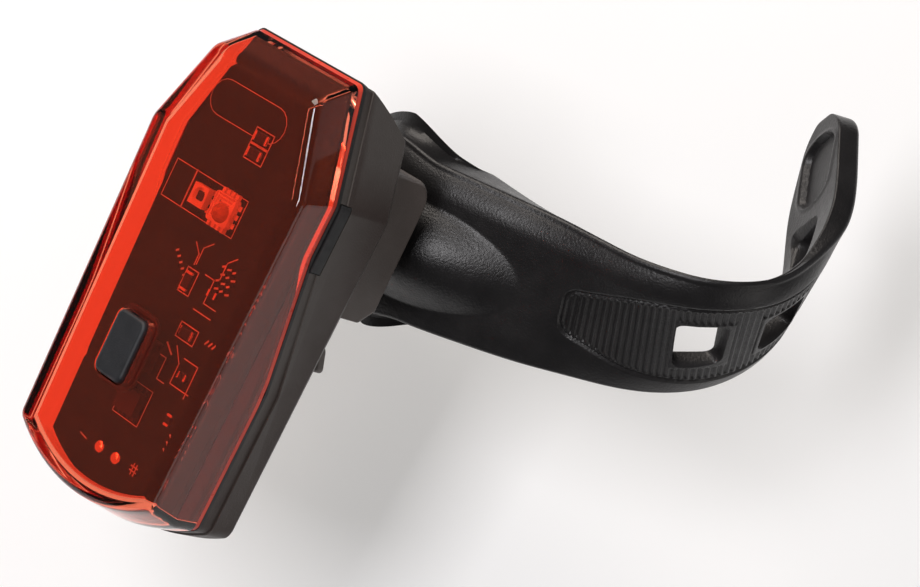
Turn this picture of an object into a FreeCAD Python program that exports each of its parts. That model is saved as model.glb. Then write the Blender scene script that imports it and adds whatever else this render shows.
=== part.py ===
import FreeCAD, Part
import math
import os

# Rechargeable bicycle tail light on a rubber strap, millimetres, +Z up.
# The origin lies on the axis of the seat post that the strap grips, behind the neck.
# The lens faces -Y. The post leans towards the lens by POST_TILT, so the lamp hangs upright.

V = FreeCAD.Vector

# Seat post and strap saddle
POST_RADIUS = 15.9
POST_TILT = 16.7
SADDLE_WALL = 4.2

# Strap, measured along its outer face from the middle of the saddle
STRAP_LENGTHS = (14.0, 16.0, 14.0, 12.0, 12.0, 14.0, 15.0, 17.0)
STRAP_BENDS = (20.0, 2.0, 0.0, 20.0, 29.0, 42.0, 22.0, 0.0)
STRAP_TWISTS = (0.0, 0.0, 14.0, 13.0, 11.0, 7.0, 12.0, 4.0)
STRAP_HALF_WIDTHS = (14.1, 13.7, 12.9, 12.5, 12.9, 12.8, 10.8, 9.4, 5.4)
STRAP_SWING = (0.0, 0.0, 0.0, -0.3, -0.5, -0.7, -0.6, -0.4, 1.6)
STRAP_THICKNESSES = (7.4, 9.2, 5.6, 3.2, 3.0, 3.0, 3.4, 3.8, 3.8)
STRAP_EDGE = 0.45
STRAP_TAPERS = (-3.6, 0.0, 1.1, 1.1, 1.1, 0.9, 0.4, 0.3, 0.3)
COLLAR_RISE = 1.2
COLLAR_REACH = 10.0
LEFT_WING = 17.0
JOINT_STATIONS = (30.0, 50.0, 68.5)
HOLE_WIDTH = 9.4
HOLE_LENGTH = 8.4
HOLE_PITCH = 14.5
HOLE_SHIFT = 0.9
HOLE_ROUND = 1.5
FIRST_HOLE = 60.6
HOLE_COUNT = 3
PANEL_STATIONS = (36.8, 51.0, 66.0, 82.0)
PANEL_HALF_WIDTHS = (3.8, 7.6, 9.2, 8.0)
PANEL_SHIFT = 0.8
PANEL_DEPTH = 0.45
PANEL_SECTIONS = 15
RIB_PITCH = 1.15
RIB_GROOVE = 0.55
RIB_HEIGHT = 0.45
POCKET_START = 98.5
POCKET_LENGTH = 11.5
POCKET_HALF_WIDTH = 5.4
POCKET_DEPTH = 1.0
HOOK_WIDTH = 7.6
HOOK_REACH = 4.5
HOOK_THICKNESS = 2.6
HOOK_RADIUS = 3.4
HOOK_ROOT = 1.5
HOOK_LIP = 2.0

# Rubber dome over the neck
DOME_HEIGHT = 4.6
DOME_HALF_WIDTH = 8.4
DOME_HALF_LENGTH = 21.5
DOME_OFFSET = 7.0
DOME_SHIFT = 1.2
DOME_ROOT = 2.5
DOME_SECTIONS = 13
DOME_FACETS = 12

# Neck between saddle and bracket
NECK_LENGTH = 5.0
NECK_RADIUS = 5.5
FLANGE_RADIUS = 7.6
FLANGE_THICKNESS = 1.4
FLANGE_COVER = 1.2
SCREW_RADIUS = 1.5
SCREW_HEAD_RADIUS = 2.8
SCREW_HEAD_HEIGHT = 1.6
SCREW_LENGTH = 9.5
SCREW_GAP = 0.1
CROSS_LENGTH = 3.0
CROSS_WIDTH = 0.6

# Bracket block and rail
BLOCK_DEPTH = 10.0
BLOCK_HALF_WIDTH = 14.0
BLOCK_HEIGHT = 25.0
BLOCK_RISE = 15.6
BLOCK_TOP_ROUND = 4.2
BLOCK_FOOT_CHAMFER = 2.4
BLOCK_SIDE_CHAMFER = 0.6
BLOCK_FLOOR = 3.0
SEAM_GAP = 0.3
RAIL_NECK_WIDTH = 8.0
RAIL_NECK_DEPTH = 2.4
RAIL_FLANGE_WIDTH = 14.4
RAIL_FLANGE_DEPTH = 2.0
RAIL_HEIGHT = 18.5
RAIL_CLEARANCE = 0.3

# Release latch below the bracket
LATCH_HALF_WIDTH = 4.6
LATCH_PAD_HALF_WIDTH = 6.8
LATCH_PAD_HEIGHT = 5.0
LATCH_THICKNESS = 1.8
LATCH_SETBACK = 6.4
LATCH_DROP = 11.4
LATCH_FLARE = 5.0
LATCH_NOSE_WIDTH = 6.0
LATCH_NOSE_HEIGHT = 2.0
LATCH_NOSE_GAP = 0.2
LATCH_GAP = 0.3
CATCH_HEIGHT = 1.8
CATCH_THICKNESS = 2.0
LATCH_PAD_ROUND = 1.26

# Lamp outline: half widths and heights from the lamp's middle
LAMP_DEPTH = 22.4
LAMP_RISE = 17.0
RIM_Y = 8.2
FRONT_TOP_HALF = 12.6
FRONT_TOP_Z = 34.0
FRONT_BEND_HALF = 18.6
FRONT_BEND_Z = 19.4
FRONT_FOOT_HALF = 17.2
FRONT_FOOT_Z = -33.2
RIM_TOP_HALF = 13.0
RIM_TOP_Z = 39.4
RIM_BEND_HALF = 18.7
RIM_BEND_Z = 20.6
RIM_FOOT_HALF = 17.4
RIM_FOOT_Z = -35.4
FOOT_SAG = 5.0
BACK_DRAFT = 0.5
TOP_CORNER_ROUND = 1.8
BEND_ROUND = 3.5
FOOT_CORNER_ROUND = 2.0
LEAST_ROUND = 0.3
BACK_TOP_Z = 31.6
TOP_BULGE = 0.6
BACK_SLOPE_Z = 2.0
BACK_FOOT_INSET = 1.2
BACK_EDGE_LENGTH = 2.2
BACK_EDGE_INSET = 1.6

# Seam between lens and housing, as seen from the side
SEAM_UPPER_Y = 8.1
SEAM_LOWER_Y = 12.7
SEAM_SLOPE_TOP = 12.0
SEAM_SLOPE_FOOT = -11.0
GASKET = 0.6
GASKET_RECESS = 0.3
BAND_UPPER = 1.5
BAND_LOWER = 2.4
BAND_DEPTH = 0.3

# Walls
LENS_WALL = 2.0
LENS_FRONT = 2.0
HOUSING_WALL = 2.0
SPIGOT_WALL = 1.4
SPIGOT_GAP = 0.3
SPIGOT_LENGTH = 3.0
BODY_START = 4.0
CAVITY_START = 3.0
ROOT = 0.5
FRONT_EDGE_CHAMFER = 0.5

# Circuit board and what it carries
BOARD_Y = 7.0
BOARD_THICKNESS = 1.2
BOARD_INSET = 2.5
LED_X = -0.6
LED_Z = 11.3
LED_SIZE = 5.0
LED_HEIGHT = 1.2
LED_DOME_RADIUS = 1.9
LED_TIP_RADIUS = 0.5
LED_ROUND = 0.5
LED_FIN_REACH = 0.8
LED_FIN_WIDTH = 1.6
LED_FIN_HEIGHT = 0.3
AUX_LED_X = -6.2
AUX_LED_SIZE = 3.5
AUX_LED_HEIGHT = 1.3
AUX_CUP_RADIUS = 1.35
AUX_CUP_FLOOR_RADIUS = 1.0
AUX_CUP_DEPTH = 0.7
CHIP_X = -1.2
CHIP_Z = -22.4
CHIP_WIDTH = 5.0
CHIP_LENGTH = 4.0
CHIP_HEIGHT = 1.5
CHIP_STANDOFF = 0.1
CHIP_LEGS = 4
LEG_WIDTH = 0.45
LEG_LENGTH = 0.7
LEG_THICKNESS = 0.3
SMALL_PARTS = (
    (0.0, 24.0, 3.2, 1.6),
    (0.0, 21.3, 3.2, 1.6),
    (-1.4, -1.4, 1.6, 3.2),
    (3.2, -8.5, 3.2, 1.6),
    (4.8, -1.0, 2.0, 1.2),
    (6.4, -14.5, 2.0, 1.2),
    (7.8, -21.5, 1.2, 2.0),
)
SMALL_PART_HEIGHT = 0.6
SOLDER_X = (-3.4, 0.8)
SOLDER_Z = -31.6
SOLDER_RADIUS = 1.1
SOLDER_TIP_RADIUS = 0.5
SOLDER_HEIGHT = 0.7

# Power button and switch
BUTTON_X = -2.7
BUTTON_Z = -14.6
BUTTON_WIDTH = 7.0
BUTTON_HEIGHT = 10.8
BUTTON_ROUND = 1.4
BUTTON_GAP = 0.15
BUTTON_PROUD = 0.5
BUTTON_EDGE = 0.4
BUTTON_FLANGE = 1.2
BUTTON_FLANGE_THICKNESS = 0.8
FLANGE_SETBACK = 0.1
STEM_RADIUS = 2.0
STEM_CLEARANCE = 0.2
BUTTON_TRAVEL = 0.4
SWITCH_SIZE = 5.2
SWITCH_BODY = 1.2
SWITCH_FLOOR = 0.3
PLUNGER_DEPTH = 0.3
SWITCH_ROUND = 0.4
PLUNGER_RADIUS = 1.2
PLUNGER_GAP = 0.1

# Charging socket and its cover
SOCKET_Z = 15.4
SOCKET_WIDTH = 7.5
SOCKET_HEIGHT = 2.6
SOCKET_DEPTH = 5.4
SOCKET_WALL = 0.35
SOCKET_SETBACK = 1.9
TONGUE_SETBACK = 1.1
TONGUE_THICKNESS = 0.6
TONGUE_WIDTH = 4.3
FLANK_SHARE = 0.9
COVER_LENGTH = 11.4
COVER_HEIGHT = 2.2
COVER_THICKNESS = 1.5
COVER_GAP = 0.15
WINDOW_DEPTH = 4.5
PLUG_LENGTH = 5.4
PLUG_HEIGHT = 1.2
PLUG_DEPTH = 0.9

# Battery
BATTERY_WIDTH = 20.0
BATTERY_LENGTH = 30.0
BATTERY_THICKNESS = 5.0
BATTERY_FOOT_Z = -26.0
BATTERY_ROUND = 1.2
PAD_THICKNESS = 1.4
PAD_INSET = 2.0
PAD_END_INSET = 3.0
LEAD_RADIUS = 0.5
LEAD_BEND = 2.0

# Worked out from the sizes above
TILT = math.radians(POST_TILT)
STRAP_FACE = POST_RADIUS + SADDLE_WALL
STRAP_FACE_Y = -STRAP_FACE * math.cos(TILT)
STRAP_FACE_Z = -STRAP_FACE * math.sin(TILT)
BLOCK_BACK_Y = STRAP_FACE_Y - NECK_LENGTH
LAMP_FRONT_Y = BLOCK_BACK_Y - BLOCK_DEPTH - LAMP_DEPTH
LAMP_Z = STRAP_FACE_Z - LAMP_RISE
BOARD_BACK = BOARD_Y + BOARD_THICKNESS
BACK_FOOT_DEPTH = LAMP_DEPTH - BACK_FOOT_INSET
BACK_EDGE_Y = LAMP_DEPTH - BACK_EDGE_LENGTH
BLOCK_FOOT_Z = BLOCK_RISE - BLOCK_HEIGHT / 2
FAR = 60.0


def place_lamp(shape):
    """Moves a shape drawn in the lamp's frame, lens front at Y 0, to its place."""
    return shape.translated(V(0, LAMP_FRONT_Y, LAMP_Z))


def place_post(shape):
    """Turns a shape drawn in the post's frame, post along Z, to the leaning post."""
    return shape.rotated(V(0, 0, 0), V(1, 0, 0), POST_TILT)


def box(x0, x1, y0, y1, z0, z1):
    return Part.makeBox(x1 - x0, y1 - y0, z1 - z0, V(x0, y0, z0))


def box_at(x, z, width, height, y0, y1):
    """Box centred on x, z, from y0 to y1."""
    return box(x - width / 2, x + width / 2, y0, y1, z - height / 2, z + height / 2)


def rounded_along_y(shape, radius):
    """Rounds the four edges of a box that run along Y."""
    edges = [e for e in shape.Edges if abs(e.tangentAt(e.FirstParameter).y) > 0.99]
    return shape.makeFillet(radius, edges)


def mix(a, b, t):
    return a + (b - a) * t


def fuse_all(shapes):
    return shapes[0].multiFuse(shapes[1:]).removeSplitter()


def flat_face(corners):
    return Part.Face(Part.makePolygon(corners + corners[:1]))


def solid_through(rings):
    """Closed solid through flat rings of points, with sides of flat triangles."""
    faces = [flat_face(rings[0]), flat_face(rings[-1])]
    for ring, following in zip(rings, rings[1:]):
        for i in range(len(ring)):
            a, b, c, d = ring[i - 1], ring[i], following[i], following[i - 1]
            faces += [flat_face([a, b, c]), flat_face([a, c, d])]
    solid = Part.Solid(Part.Shell(faces))
    return solid if solid.Volume > 0 else Part.Solid(Part.Shell([face.reversed() for face in faces]))


# Lamp outline


def outline_values(y):
    """Half widths and heights of the lamp's outline at depth y."""
    t = min(max(y, 0.0) / RIM_Y, 1.0)
    draft = BACK_DRAFT * max(y - RIM_Y, 0.0) / (LAMP_DEPTH - RIM_Y)
    return (
        mix(FRONT_TOP_HALF, RIM_TOP_HALF, t) - draft,
        mix(FRONT_TOP_Z, RIM_TOP_Z, t),
        mix(FRONT_BEND_HALF, RIM_BEND_HALF, t) - draft,
        mix(FRONT_BEND_Z, RIM_BEND_Z, t),
        mix(FRONT_FOOT_HALF, RIM_FOOT_HALF, t) - draft,
        mix(FRONT_FOOT_Z, RIM_FOOT_Z, t),
    )


def inward(a, b):
    """Unit normal towards the inside of an outline that runs anticlockwise from a to b."""
    run = (b - a).normalize()
    return V(-run.z, 0, run.x)


def inner_radius(radius, inset):
    return max(radius - inset, LEAST_ROUND)


def corner_arc(corner, normal_a, normal_b, radius, inset):
    """Start, middle and end of the arc that rounds a corner, both sides moved in by inset."""
    both = normal_a + normal_b
    reach = 1 + normal_a.dot(normal_b)
    round_radius = inner_radius(radius, inset)
    centre = corner + both * ((inset + round_radius) / reach)
    return [centre - normal * round_radius for normal in (normal_a, both.normalize(), normal_b)]


def foot_arc(corner, flank, normal, centre, radius, inset):
    """Start, middle and end of the arc between the arched foot and a flank."""
    small = inner_radius(FOOT_CORNER_ROUND, inset)
    start = corner + normal * (inset + small)
    offset = start - centre
    along = offset.dot(flank)
    reach = math.sqrt(along ** 2 - offset.dot(offset) + (radius - small) ** 2)
    middle = start - flank * (along + reach)
    outward = (middle - centre).normalize()
    between = (outward - normal).normalize()
    return [middle + outward * small, middle + between * small, middle - normal * small]


def outline(y, inset=0.0):
    """Wire of the lamp's outline at depth y: arched foot, flanks, slanted shoulders, top."""
    top, top_z, bend, bend_z, foot, foot_z = outline_values(y)
    radius = (foot * foot + FOOT_SAG * FOOT_SAG) / (2 * FOOT_SAG)
    centre = V(0, y, foot_z - FOOT_SAG + radius)
    foot_corner, bend_corner, top_corner = V(foot, y, foot_z), V(bend, y, bend_z), V(top, y, top_z)
    flank, shoulder = inward(foot_corner, bend_corner), inward(bend_corner, top_corner)
    direction = (bend_corner - foot_corner).normalize()
    arcs = [
        foot_arc(foot_corner, direction, flank, centre, radius - inset, inset),
        corner_arc(bend_corner, flank, shoulder, BEND_ROUND, inset),
        corner_arc(top_corner, shoulder, V(0, 0, -1), TOP_CORNER_ROUND, inset),
    ]
    mirrored = [[V(-p.x, p.y, p.z) for p in reversed(arc)] for arc in reversed(arcs)]
    edges = []
    for before, after in zip([None] + arcs + mirrored, arcs + mirrored):
        if before:
            edges.append(Part.LineSegment(before[2], after[0]).toShape())
        edges.append(Part.Arc(*after).toShape())
    low = V(0, y, centre.z - radius + inset)
    edges.append(Part.Arc(mirrored[-1][2], low, arcs[0][0]).toShape())
    return Part.Wire(edges)


def side_profile(inset):
    """The lamp's form seen from the side: sloped top, back plane, back sloping in below."""
    top = V(-FAR, RIM_Y, RIM_TOP_Z - inset)
    back_top = V(-FAR, LAMP_DEPTH - inset, BACK_TOP_Z - inset)
    slope = (back_top - top).normalize()
    bulge = (top + back_top) * 0.5 + V(0, -slope.z, slope.y) * TOP_BULGE
    corners = [
        back_top, V(-FAR, LAMP_DEPTH - inset, BACK_SLOPE_Z), V(-FAR, BACK_FOOT_DEPTH - inset, RIM_FOOT_Z),
        V(-FAR, BACK_FOOT_DEPTH - inset, -FAR), V(-FAR, 0, -FAR), V(-FAR, 0, RIM_TOP_Z - inset), top,
    ]
    edges = [Part.LineSegment(p, q).toShape() for p, q in zip(corners, corners[1:])]
    edges.append(Part.Arc(top, bulge, back_top).toShape())
    return Part.Face(Part.Wire(Part.__sortEdges__(edges))).extrude(V(2 * FAR, 0, 0))


def lamp_body(inset, front, back):
    """The lamp's outer form, drawn in by inset, from depth front to depth back."""
    depths = [front] + ([RIM_Y] if front < RIM_Y < back else []) + [back]
    pieces = []
    for y0, y1 in zip(depths, depths[1:]):
        loft = Part.makeLoft([outline(y0, inset), outline(y1, inset)], True, True)
        pieces.append(loft.common(side_profile(inset)) if y1 > RIM_Y else loft)
    return pieces[0] if len(pieces) == 1 else fuse_all(pieces)


def seam_region(shift, lower_shift=None):
    """Everything ahead of the seam, moved back by shift, and by lower_shift below its slope."""
    upper = SEAM_UPPER_Y + shift
    lower = SEAM_LOWER_Y + (shift if lower_shift is None else lower_shift)
    corners = [
        V(-FAR, -5, FAR), V(-FAR, upper, FAR), V(-FAR, upper, SEAM_SLOPE_TOP),
        V(-FAR, lower, SEAM_SLOPE_FOOT), V(-FAR, lower, -FAR), V(-FAR, -5, -FAR),
    ]
    face = Part.Face(Part.makePolygon(corners + corners[:1]))
    return face.extrude(V(2 * FAR, 0, 0))


def make_lens():
    shell = lamp_body(0.0, 0.0, SEAM_LOWER_Y + LENS_WALL)
    front_edges = [e for e in shell.Edges if all(abs(v.Point.y) < 1e-6 for v in e.Vertexes)]
    shell = shell.makeChamfer(FRONT_EDGE_CHAMFER, front_edges)
    shell = shell.common(seam_region(0.0))
    shell = shell.cut(lamp_body(LENS_WALL, LENS_FRONT, LAMP_DEPTH - HOUSING_WALL))
    return shell.cut(button_block(BUTTON_GAP, -1.0, LENS_FRONT + 1.0))


def make_gasket():
    strip = seam_region(GASKET).cut(seam_region(0.0))
    ring = lamp_body(GASKET_RECESS, BODY_START, LAMP_DEPTH)
    ring = ring.cut(lamp_body(LENS_WALL, CAVITY_START, LAMP_DEPTH + 1))
    return ring.common(strip).cut(socket_clearance())


def make_housing():
    slanted = Part.makeLoft([outline(BACK_EDGE_Y), outline(LAMP_DEPTH, BACK_EDGE_INSET)], True, True)
    body = fuse_all([lamp_body(0.0, BODY_START, BACK_EDGE_Y), slanted.common(side_profile(0.0))])
    body = body.cut(seam_region(GASKET))
    band = seam_region(GASKET + BAND_UPPER, GASKET + BAND_LOWER)
    body = body.cut(band.cut(lamp_body(BAND_DEPTH, CAVITY_START, LAMP_DEPTH)))
    body = fuse_all([body, catch_rib()]).cut(lamp_body(HOUSING_WALL, CAVITY_START, LAMP_DEPTH - HOUSING_WALL))
    outer = lamp_body(LENS_WALL + SPIGOT_GAP, BOARD_BACK, SEAM_LOWER_Y + SPIGOT_LENGTH)
    inner = lamp_body(LENS_WALL + SPIGOT_GAP + SPIGOT_WALL, CAVITY_START, SEAM_LOWER_Y + SPIGOT_LENGTH + ROOT)
    spigot = outer.cut(inner)
    foot = lamp_body(HOUSING_WALL - ROOT, SEAM_UPPER_Y, SEAM_LOWER_Y + SPIGOT_LENGTH)
    foot = foot.cut(inner).cut(seam_region(GASKET))
    body = fuse_all([body, spigot, foot, rail()])
    return body.cut(socket_window())


def socket_window():
    """Notch in the housing's edge and through its spigot, for the charging socket."""
    notch = box(FRONT_BEND_HALF - WINDOW_DEPTH, FAR, BOARD_BACK - SPIGOT_GAP,
                cover_front() + COVER_HEIGHT + COVER_GAP,
                SOCKET_Z - COVER_LENGTH / 2 - COVER_GAP, SOCKET_Z + COVER_LENGTH / 2 + COVER_GAP)
    return notch


def cover_front():
    """Depth at which the charging cover starts, where the seal still has half its width."""
    slope = (SEAM_LOWER_Y - SEAM_UPPER_Y) / (SEAM_SLOPE_TOP - SEAM_SLOPE_FOOT)
    drop = max(SEAM_SLOPE_TOP - (SOCKET_Z - COVER_LENGTH / 2), 0)
    return SEAM_UPPER_Y + slope * drop + GASKET / 2 + COVER_GAP


def socket_clearance():
    """Room that the seal leaves for the charging socket and for its cover."""
    front = cover_front() - COVER_GAP
    behind_cover = box(0, FAR, front, front + 2 * COVER_HEIGHT,
                       SOCKET_Z - COVER_LENGTH / 2 - COVER_GAP, SOCKET_Z + COVER_LENGTH / 2 + COVER_GAP)
    around_socket = box(0, socket_face_x() + COVER_GAP, BOARD_BACK, BOARD_BACK + SOCKET_HEIGHT + COVER_GAP,
                        SOCKET_Z - SOCKET_WIDTH / 2 - COVER_GAP, SOCKET_Z + SOCKET_WIDTH / 2 + COVER_GAP)
    return fuse_all([behind_cover, around_socket])


def rail():
    """T-shaped rail on the housing's back that hangs in the bracket."""
    foot_z = BLOCK_FOOT_Z + BLOCK_FLOOR + RAIL_CLEARANCE
    neck = box(-RAIL_NECK_WIDTH / 2, RAIL_NECK_WIDTH / 2, LAMP_DEPTH - ROOT, LAMP_DEPTH + RAIL_NECK_DEPTH,
               foot_z, foot_z + RAIL_HEIGHT)
    flange = box(-RAIL_FLANGE_WIDTH / 2, RAIL_FLANGE_WIDTH / 2, LAMP_DEPTH + RAIL_NECK_DEPTH,
                 LAMP_DEPTH + RAIL_NECK_DEPTH + RAIL_FLANGE_DEPTH, foot_z, foot_z + RAIL_HEIGHT)
    return fuse_all([neck, flange])


# Board and electrics


def make_board():
    board = lamp_body(BOARD_INSET, BOARD_Y, BOARD_BACK)
    holes = [Part.makeCylinder(LEAD_RADIUS, BOARD_THICKNESS + 2, V(x, BOARD_Y - 1, SOLDER_Z), V(0, 1, 0))
             for x in SOLDER_X]
    return board.cut(fuse_all(holes))


def make_main_led():
    base = box_at(LED_X, LED_Z, LED_SIZE, LED_SIZE, BOARD_Y - LED_HEIGHT, BOARD_Y)
    base = rounded_along_y(base, LED_ROUND)
    fin = box_at(LED_X, LED_Z, LED_SIZE + 2 * LED_FIN_REACH, LED_FIN_WIDTH, BOARD_Y - LED_FIN_HEIGHT, BOARD_Y)
    front = BOARD_Y - LED_HEIGHT
    middle_radius = LED_DOME_RADIUS * math.cos(math.pi / 4)
    dome = [Part.makeCone(LED_DOME_RADIUS, middle_radius, middle_radius, V(LED_X, front, LED_Z), V(0, -1, 0)),
            Part.makeCone(middle_radius, LED_TIP_RADIUS, LED_DOME_RADIUS - middle_radius,
                          V(LED_X, front - middle_radius, LED_Z), V(0, -1, 0))]
    return fuse_all([base, fin] + dome)


def make_aux_led():
    body = box_at(AUX_LED_X, LED_Z, AUX_LED_SIZE, AUX_LED_SIZE, BOARD_Y - AUX_LED_HEIGHT, BOARD_Y)
    cup = Part.makeCone(AUX_CUP_RADIUS, AUX_CUP_FLOOR_RADIUS, AUX_CUP_DEPTH,
                        V(AUX_LED_X, BOARD_Y - AUX_LED_HEIGHT, LED_Z), V(0, 1, 0))
    return body.cut(cup)


def make_control_chip():
    body = box_at(CHIP_X, CHIP_Z, CHIP_WIDTH, CHIP_LENGTH, BOARD_Y - CHIP_HEIGHT, BOARD_Y - CHIP_STANDOFF)
    legs = []
    for side in (-1, 1):
        for row in range(CHIP_LEGS):
            x = CHIP_X - CHIP_WIDTH / 2 + CHIP_WIDTH * (row + 0.5) / CHIP_LEGS
            z = CHIP_Z + side * (CHIP_LENGTH + LEG_LENGTH) / 2
            legs.append(box_at(x, z, LEG_WIDTH, LEG_LENGTH + LEG_THICKNESS, BOARD_Y - LEG_THICKNESS, BOARD_Y))
    return fuse_all([body] + legs)


def make_small_parts():
    return Part.makeCompound([
        box_at(x, z, width, height, BOARD_Y - SMALL_PART_HEIGHT, BOARD_Y)
        for x, z, width, height in SMALL_PARTS
    ])


def make_solder_joints():
    return Part.makeCompound([
        Part.makeCone(SOLDER_RADIUS, SOLDER_TIP_RADIUS, SOLDER_HEIGHT, V(x, BOARD_Y, SOLDER_Z), V(0, -1, 0))
        for x in SOLDER_X
    ])


def make_tact_switch():
    back = BOARD_Y
    body = box_at(BUTTON_X, BUTTON_Z, SWITCH_SIZE, SWITCH_SIZE, back - SWITCH_BODY, back)
    well = Part.makeCylinder(PLUNGER_RADIUS + PLUNGER_GAP, SWITCH_BODY - SWITCH_FLOOR,
                             V(BUTTON_X, back - SWITCH_BODY, BUTTON_Z), V(0, 1, 0))
    return rounded_along_y(body, SWITCH_ROUND).cut(well)


def make_switch_plunger():
    """Stands in the switch's well, its face against the button's stem."""
    front = stem_end()
    back = BOARD_Y - SWITCH_BODY + PLUNGER_DEPTH
    return Part.makeCylinder(PLUNGER_RADIUS, back - front, V(BUTTON_X, front, BUTTON_Z), V(0, 1, 0))


def stem_end():
    return BOARD_Y - SWITCH_BODY - BUTTON_TRAVEL - STEM_CLEARANCE


def button_block(grow, y0, y1):
    block = box_at(BUTTON_X, BUTTON_Z, BUTTON_WIDTH + 2 * grow, BUTTON_HEIGHT + 2 * grow, y0, y1)
    return rounded_along_y(block, BUTTON_ROUND + grow)


def make_power_button():
    cap = button_block(0.0, -BUTTON_PROUD, LENS_FRONT + FLANGE_SETBACK)
    front_edges = [e for e in cap.Edges if all(abs(v.Point.y + BUTTON_PROUD) < 1e-6 for v in e.Vertexes)]
    cap = cap.makeChamfer(BUTTON_EDGE, front_edges)
    flange_front = LENS_FRONT + FLANGE_SETBACK
    flange = button_block(BUTTON_FLANGE, flange_front, flange_front + BUTTON_FLANGE_THICKNESS)
    stem = Part.makeCylinder(STEM_RADIUS, stem_end() - LENS_FRONT,
                             V(BUTTON_X, LENS_FRONT, BUTTON_Z), V(0, 1, 0))
    return fuse_all([cap, flange, stem])


def socket_face_x():
    return mix(FRONT_FOOT_HALF, RIM_BEND_HALF, FLANK_SHARE) - SOCKET_SETBACK


def make_usb_socket():
    x1 = socket_face_x()
    shell = box(x1 - SOCKET_DEPTH, x1, BOARD_BACK, BOARD_BACK + SOCKET_HEIGHT,
                SOCKET_Z - SOCKET_WIDTH / 2, SOCKET_Z + SOCKET_WIDTH / 2)
    hollow = box(x1 - SOCKET_DEPTH + SOCKET_WALL, x1 + 1, BOARD_BACK + SOCKET_WALL,
                 BOARD_BACK + SOCKET_HEIGHT - SOCKET_WALL,
                 SOCKET_Z - SOCKET_WIDTH / 2 + SOCKET_WALL, SOCKET_Z + SOCKET_WIDTH / 2 - SOCKET_WALL)
    return shell.cut(hollow)


def make_usb_tongue():
    x1 = socket_face_x()
    middle = BOARD_BACK + SOCKET_HEIGHT / 2
    return box(x1 - SOCKET_DEPTH + SOCKET_WALL, x1 - TONGUE_SETBACK, middle - TONGUE_THICKNESS / 2,
               middle + TONGUE_THICKNESS / 2,
               SOCKET_Z - TONGUE_WIDTH / 2, SOCKET_Z + TONGUE_WIDTH / 2)


def make_usb_cover():
    y0 = cover_front()
    skin = lamp_body(0.0, BODY_START, LAMP_DEPTH)
    skin = skin.cut(lamp_body(COVER_THICKNESS, CAVITY_START, LAMP_DEPTH - 1))
    plate = box(0, FAR, y0, y0 + COVER_HEIGHT, SOCKET_Z - COVER_LENGTH / 2, SOCKET_Z + COVER_LENGTH / 2)
    plate = plate.common(skin)
    inner = socket_face_x() + SOCKET_SETBACK - COVER_THICKNESS
    middle = BOARD_BACK + SOCKET_HEIGHT / 2
    plug = box(inner - PLUG_DEPTH, inner + COVER_THICKNESS / 2,
               middle - PLUG_HEIGHT / 2, middle + PLUG_HEIGHT / 2,
               SOCKET_Z - PLUG_LENGTH / 2, SOCKET_Z + PLUG_LENGTH / 2)
    return fuse_all([plate, plug])


def make_battery():
    back = LAMP_DEPTH - HOUSING_WALL - PAD_THICKNESS
    cell = box(-BATTERY_WIDTH / 2, BATTERY_WIDTH / 2, back - BATTERY_THICKNESS, back,
               BATTERY_FOOT_Z, BATTERY_FOOT_Z + BATTERY_LENGTH)
    long_edges = [e for e in cell.Edges if abs(e.tangentAt(e.FirstParameter).z) > 0.99]
    return cell.makeFillet(BATTERY_ROUND, long_edges)


def make_battery_pad():
    """Adhesive foam between the cell and the housing's back wall, which slopes in at the foot."""
    back = LAMP_DEPTH - HOUSING_WALL
    pad = box(-BATTERY_WIDTH / 2 + PAD_INSET, BATTERY_WIDTH / 2 - PAD_INSET, back - PAD_THICKNESS, back + 1,
              BATTERY_FOOT_Z + PAD_END_INSET, BATTERY_FOOT_Z + BATTERY_LENGTH - PAD_END_INSET)
    return pad.common(lamp_body(HOUSING_WALL, BOARD_BACK, back))


def make_battery_leads():
    middle = LAMP_DEPTH - HOUSING_WALL - PAD_THICKNESS - BATTERY_THICKNESS / 2
    leads = []
    for x in SOLDER_X:
        start = V(x, middle, BATTERY_FOOT_Z)
        bend_a = V(x, middle, SOLDER_Z + LEAD_BEND)
        bend_b = V(x, middle - LEAD_BEND, SOLDER_Z)
        turn = V(x, middle - LEAD_BEND * (1 - math.sqrt(0.5)), SOLDER_Z + LEAD_BEND * (1 - math.sqrt(0.5)))
        end = V(x, BOARD_Y, SOLDER_Z)
        path = Part.Wire([Part.LineSegment(start, bend_a).toShape(),
                          Part.Arc(bend_a, turn, bend_b).toShape(),
                          Part.LineSegment(bend_b, end).toShape()])
        corners = [start + V(a, b, 0) for a, b in
                   ((LEAD_RADIUS, 0), (0, LEAD_RADIUS), (-LEAD_RADIUS, 0), (0, -LEAD_RADIUS))]
        section = Part.makePolygon(corners + corners[:1])
        leads.append(path.makePipeShell([section], True, False))
    return Part.makeCompound(leads)


# Bracket, latch and neck, drawn in the lamp's frame


def edges_at(shape, y, z):
    """Edges of a shape that run along X at one depth and height."""
    return [e for e in shape.Edges
            if all(abs(v.Point.y - y) < 1e-6 and abs(v.Point.z - z) < 1e-6 for v in e.Vertexes)]


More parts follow.
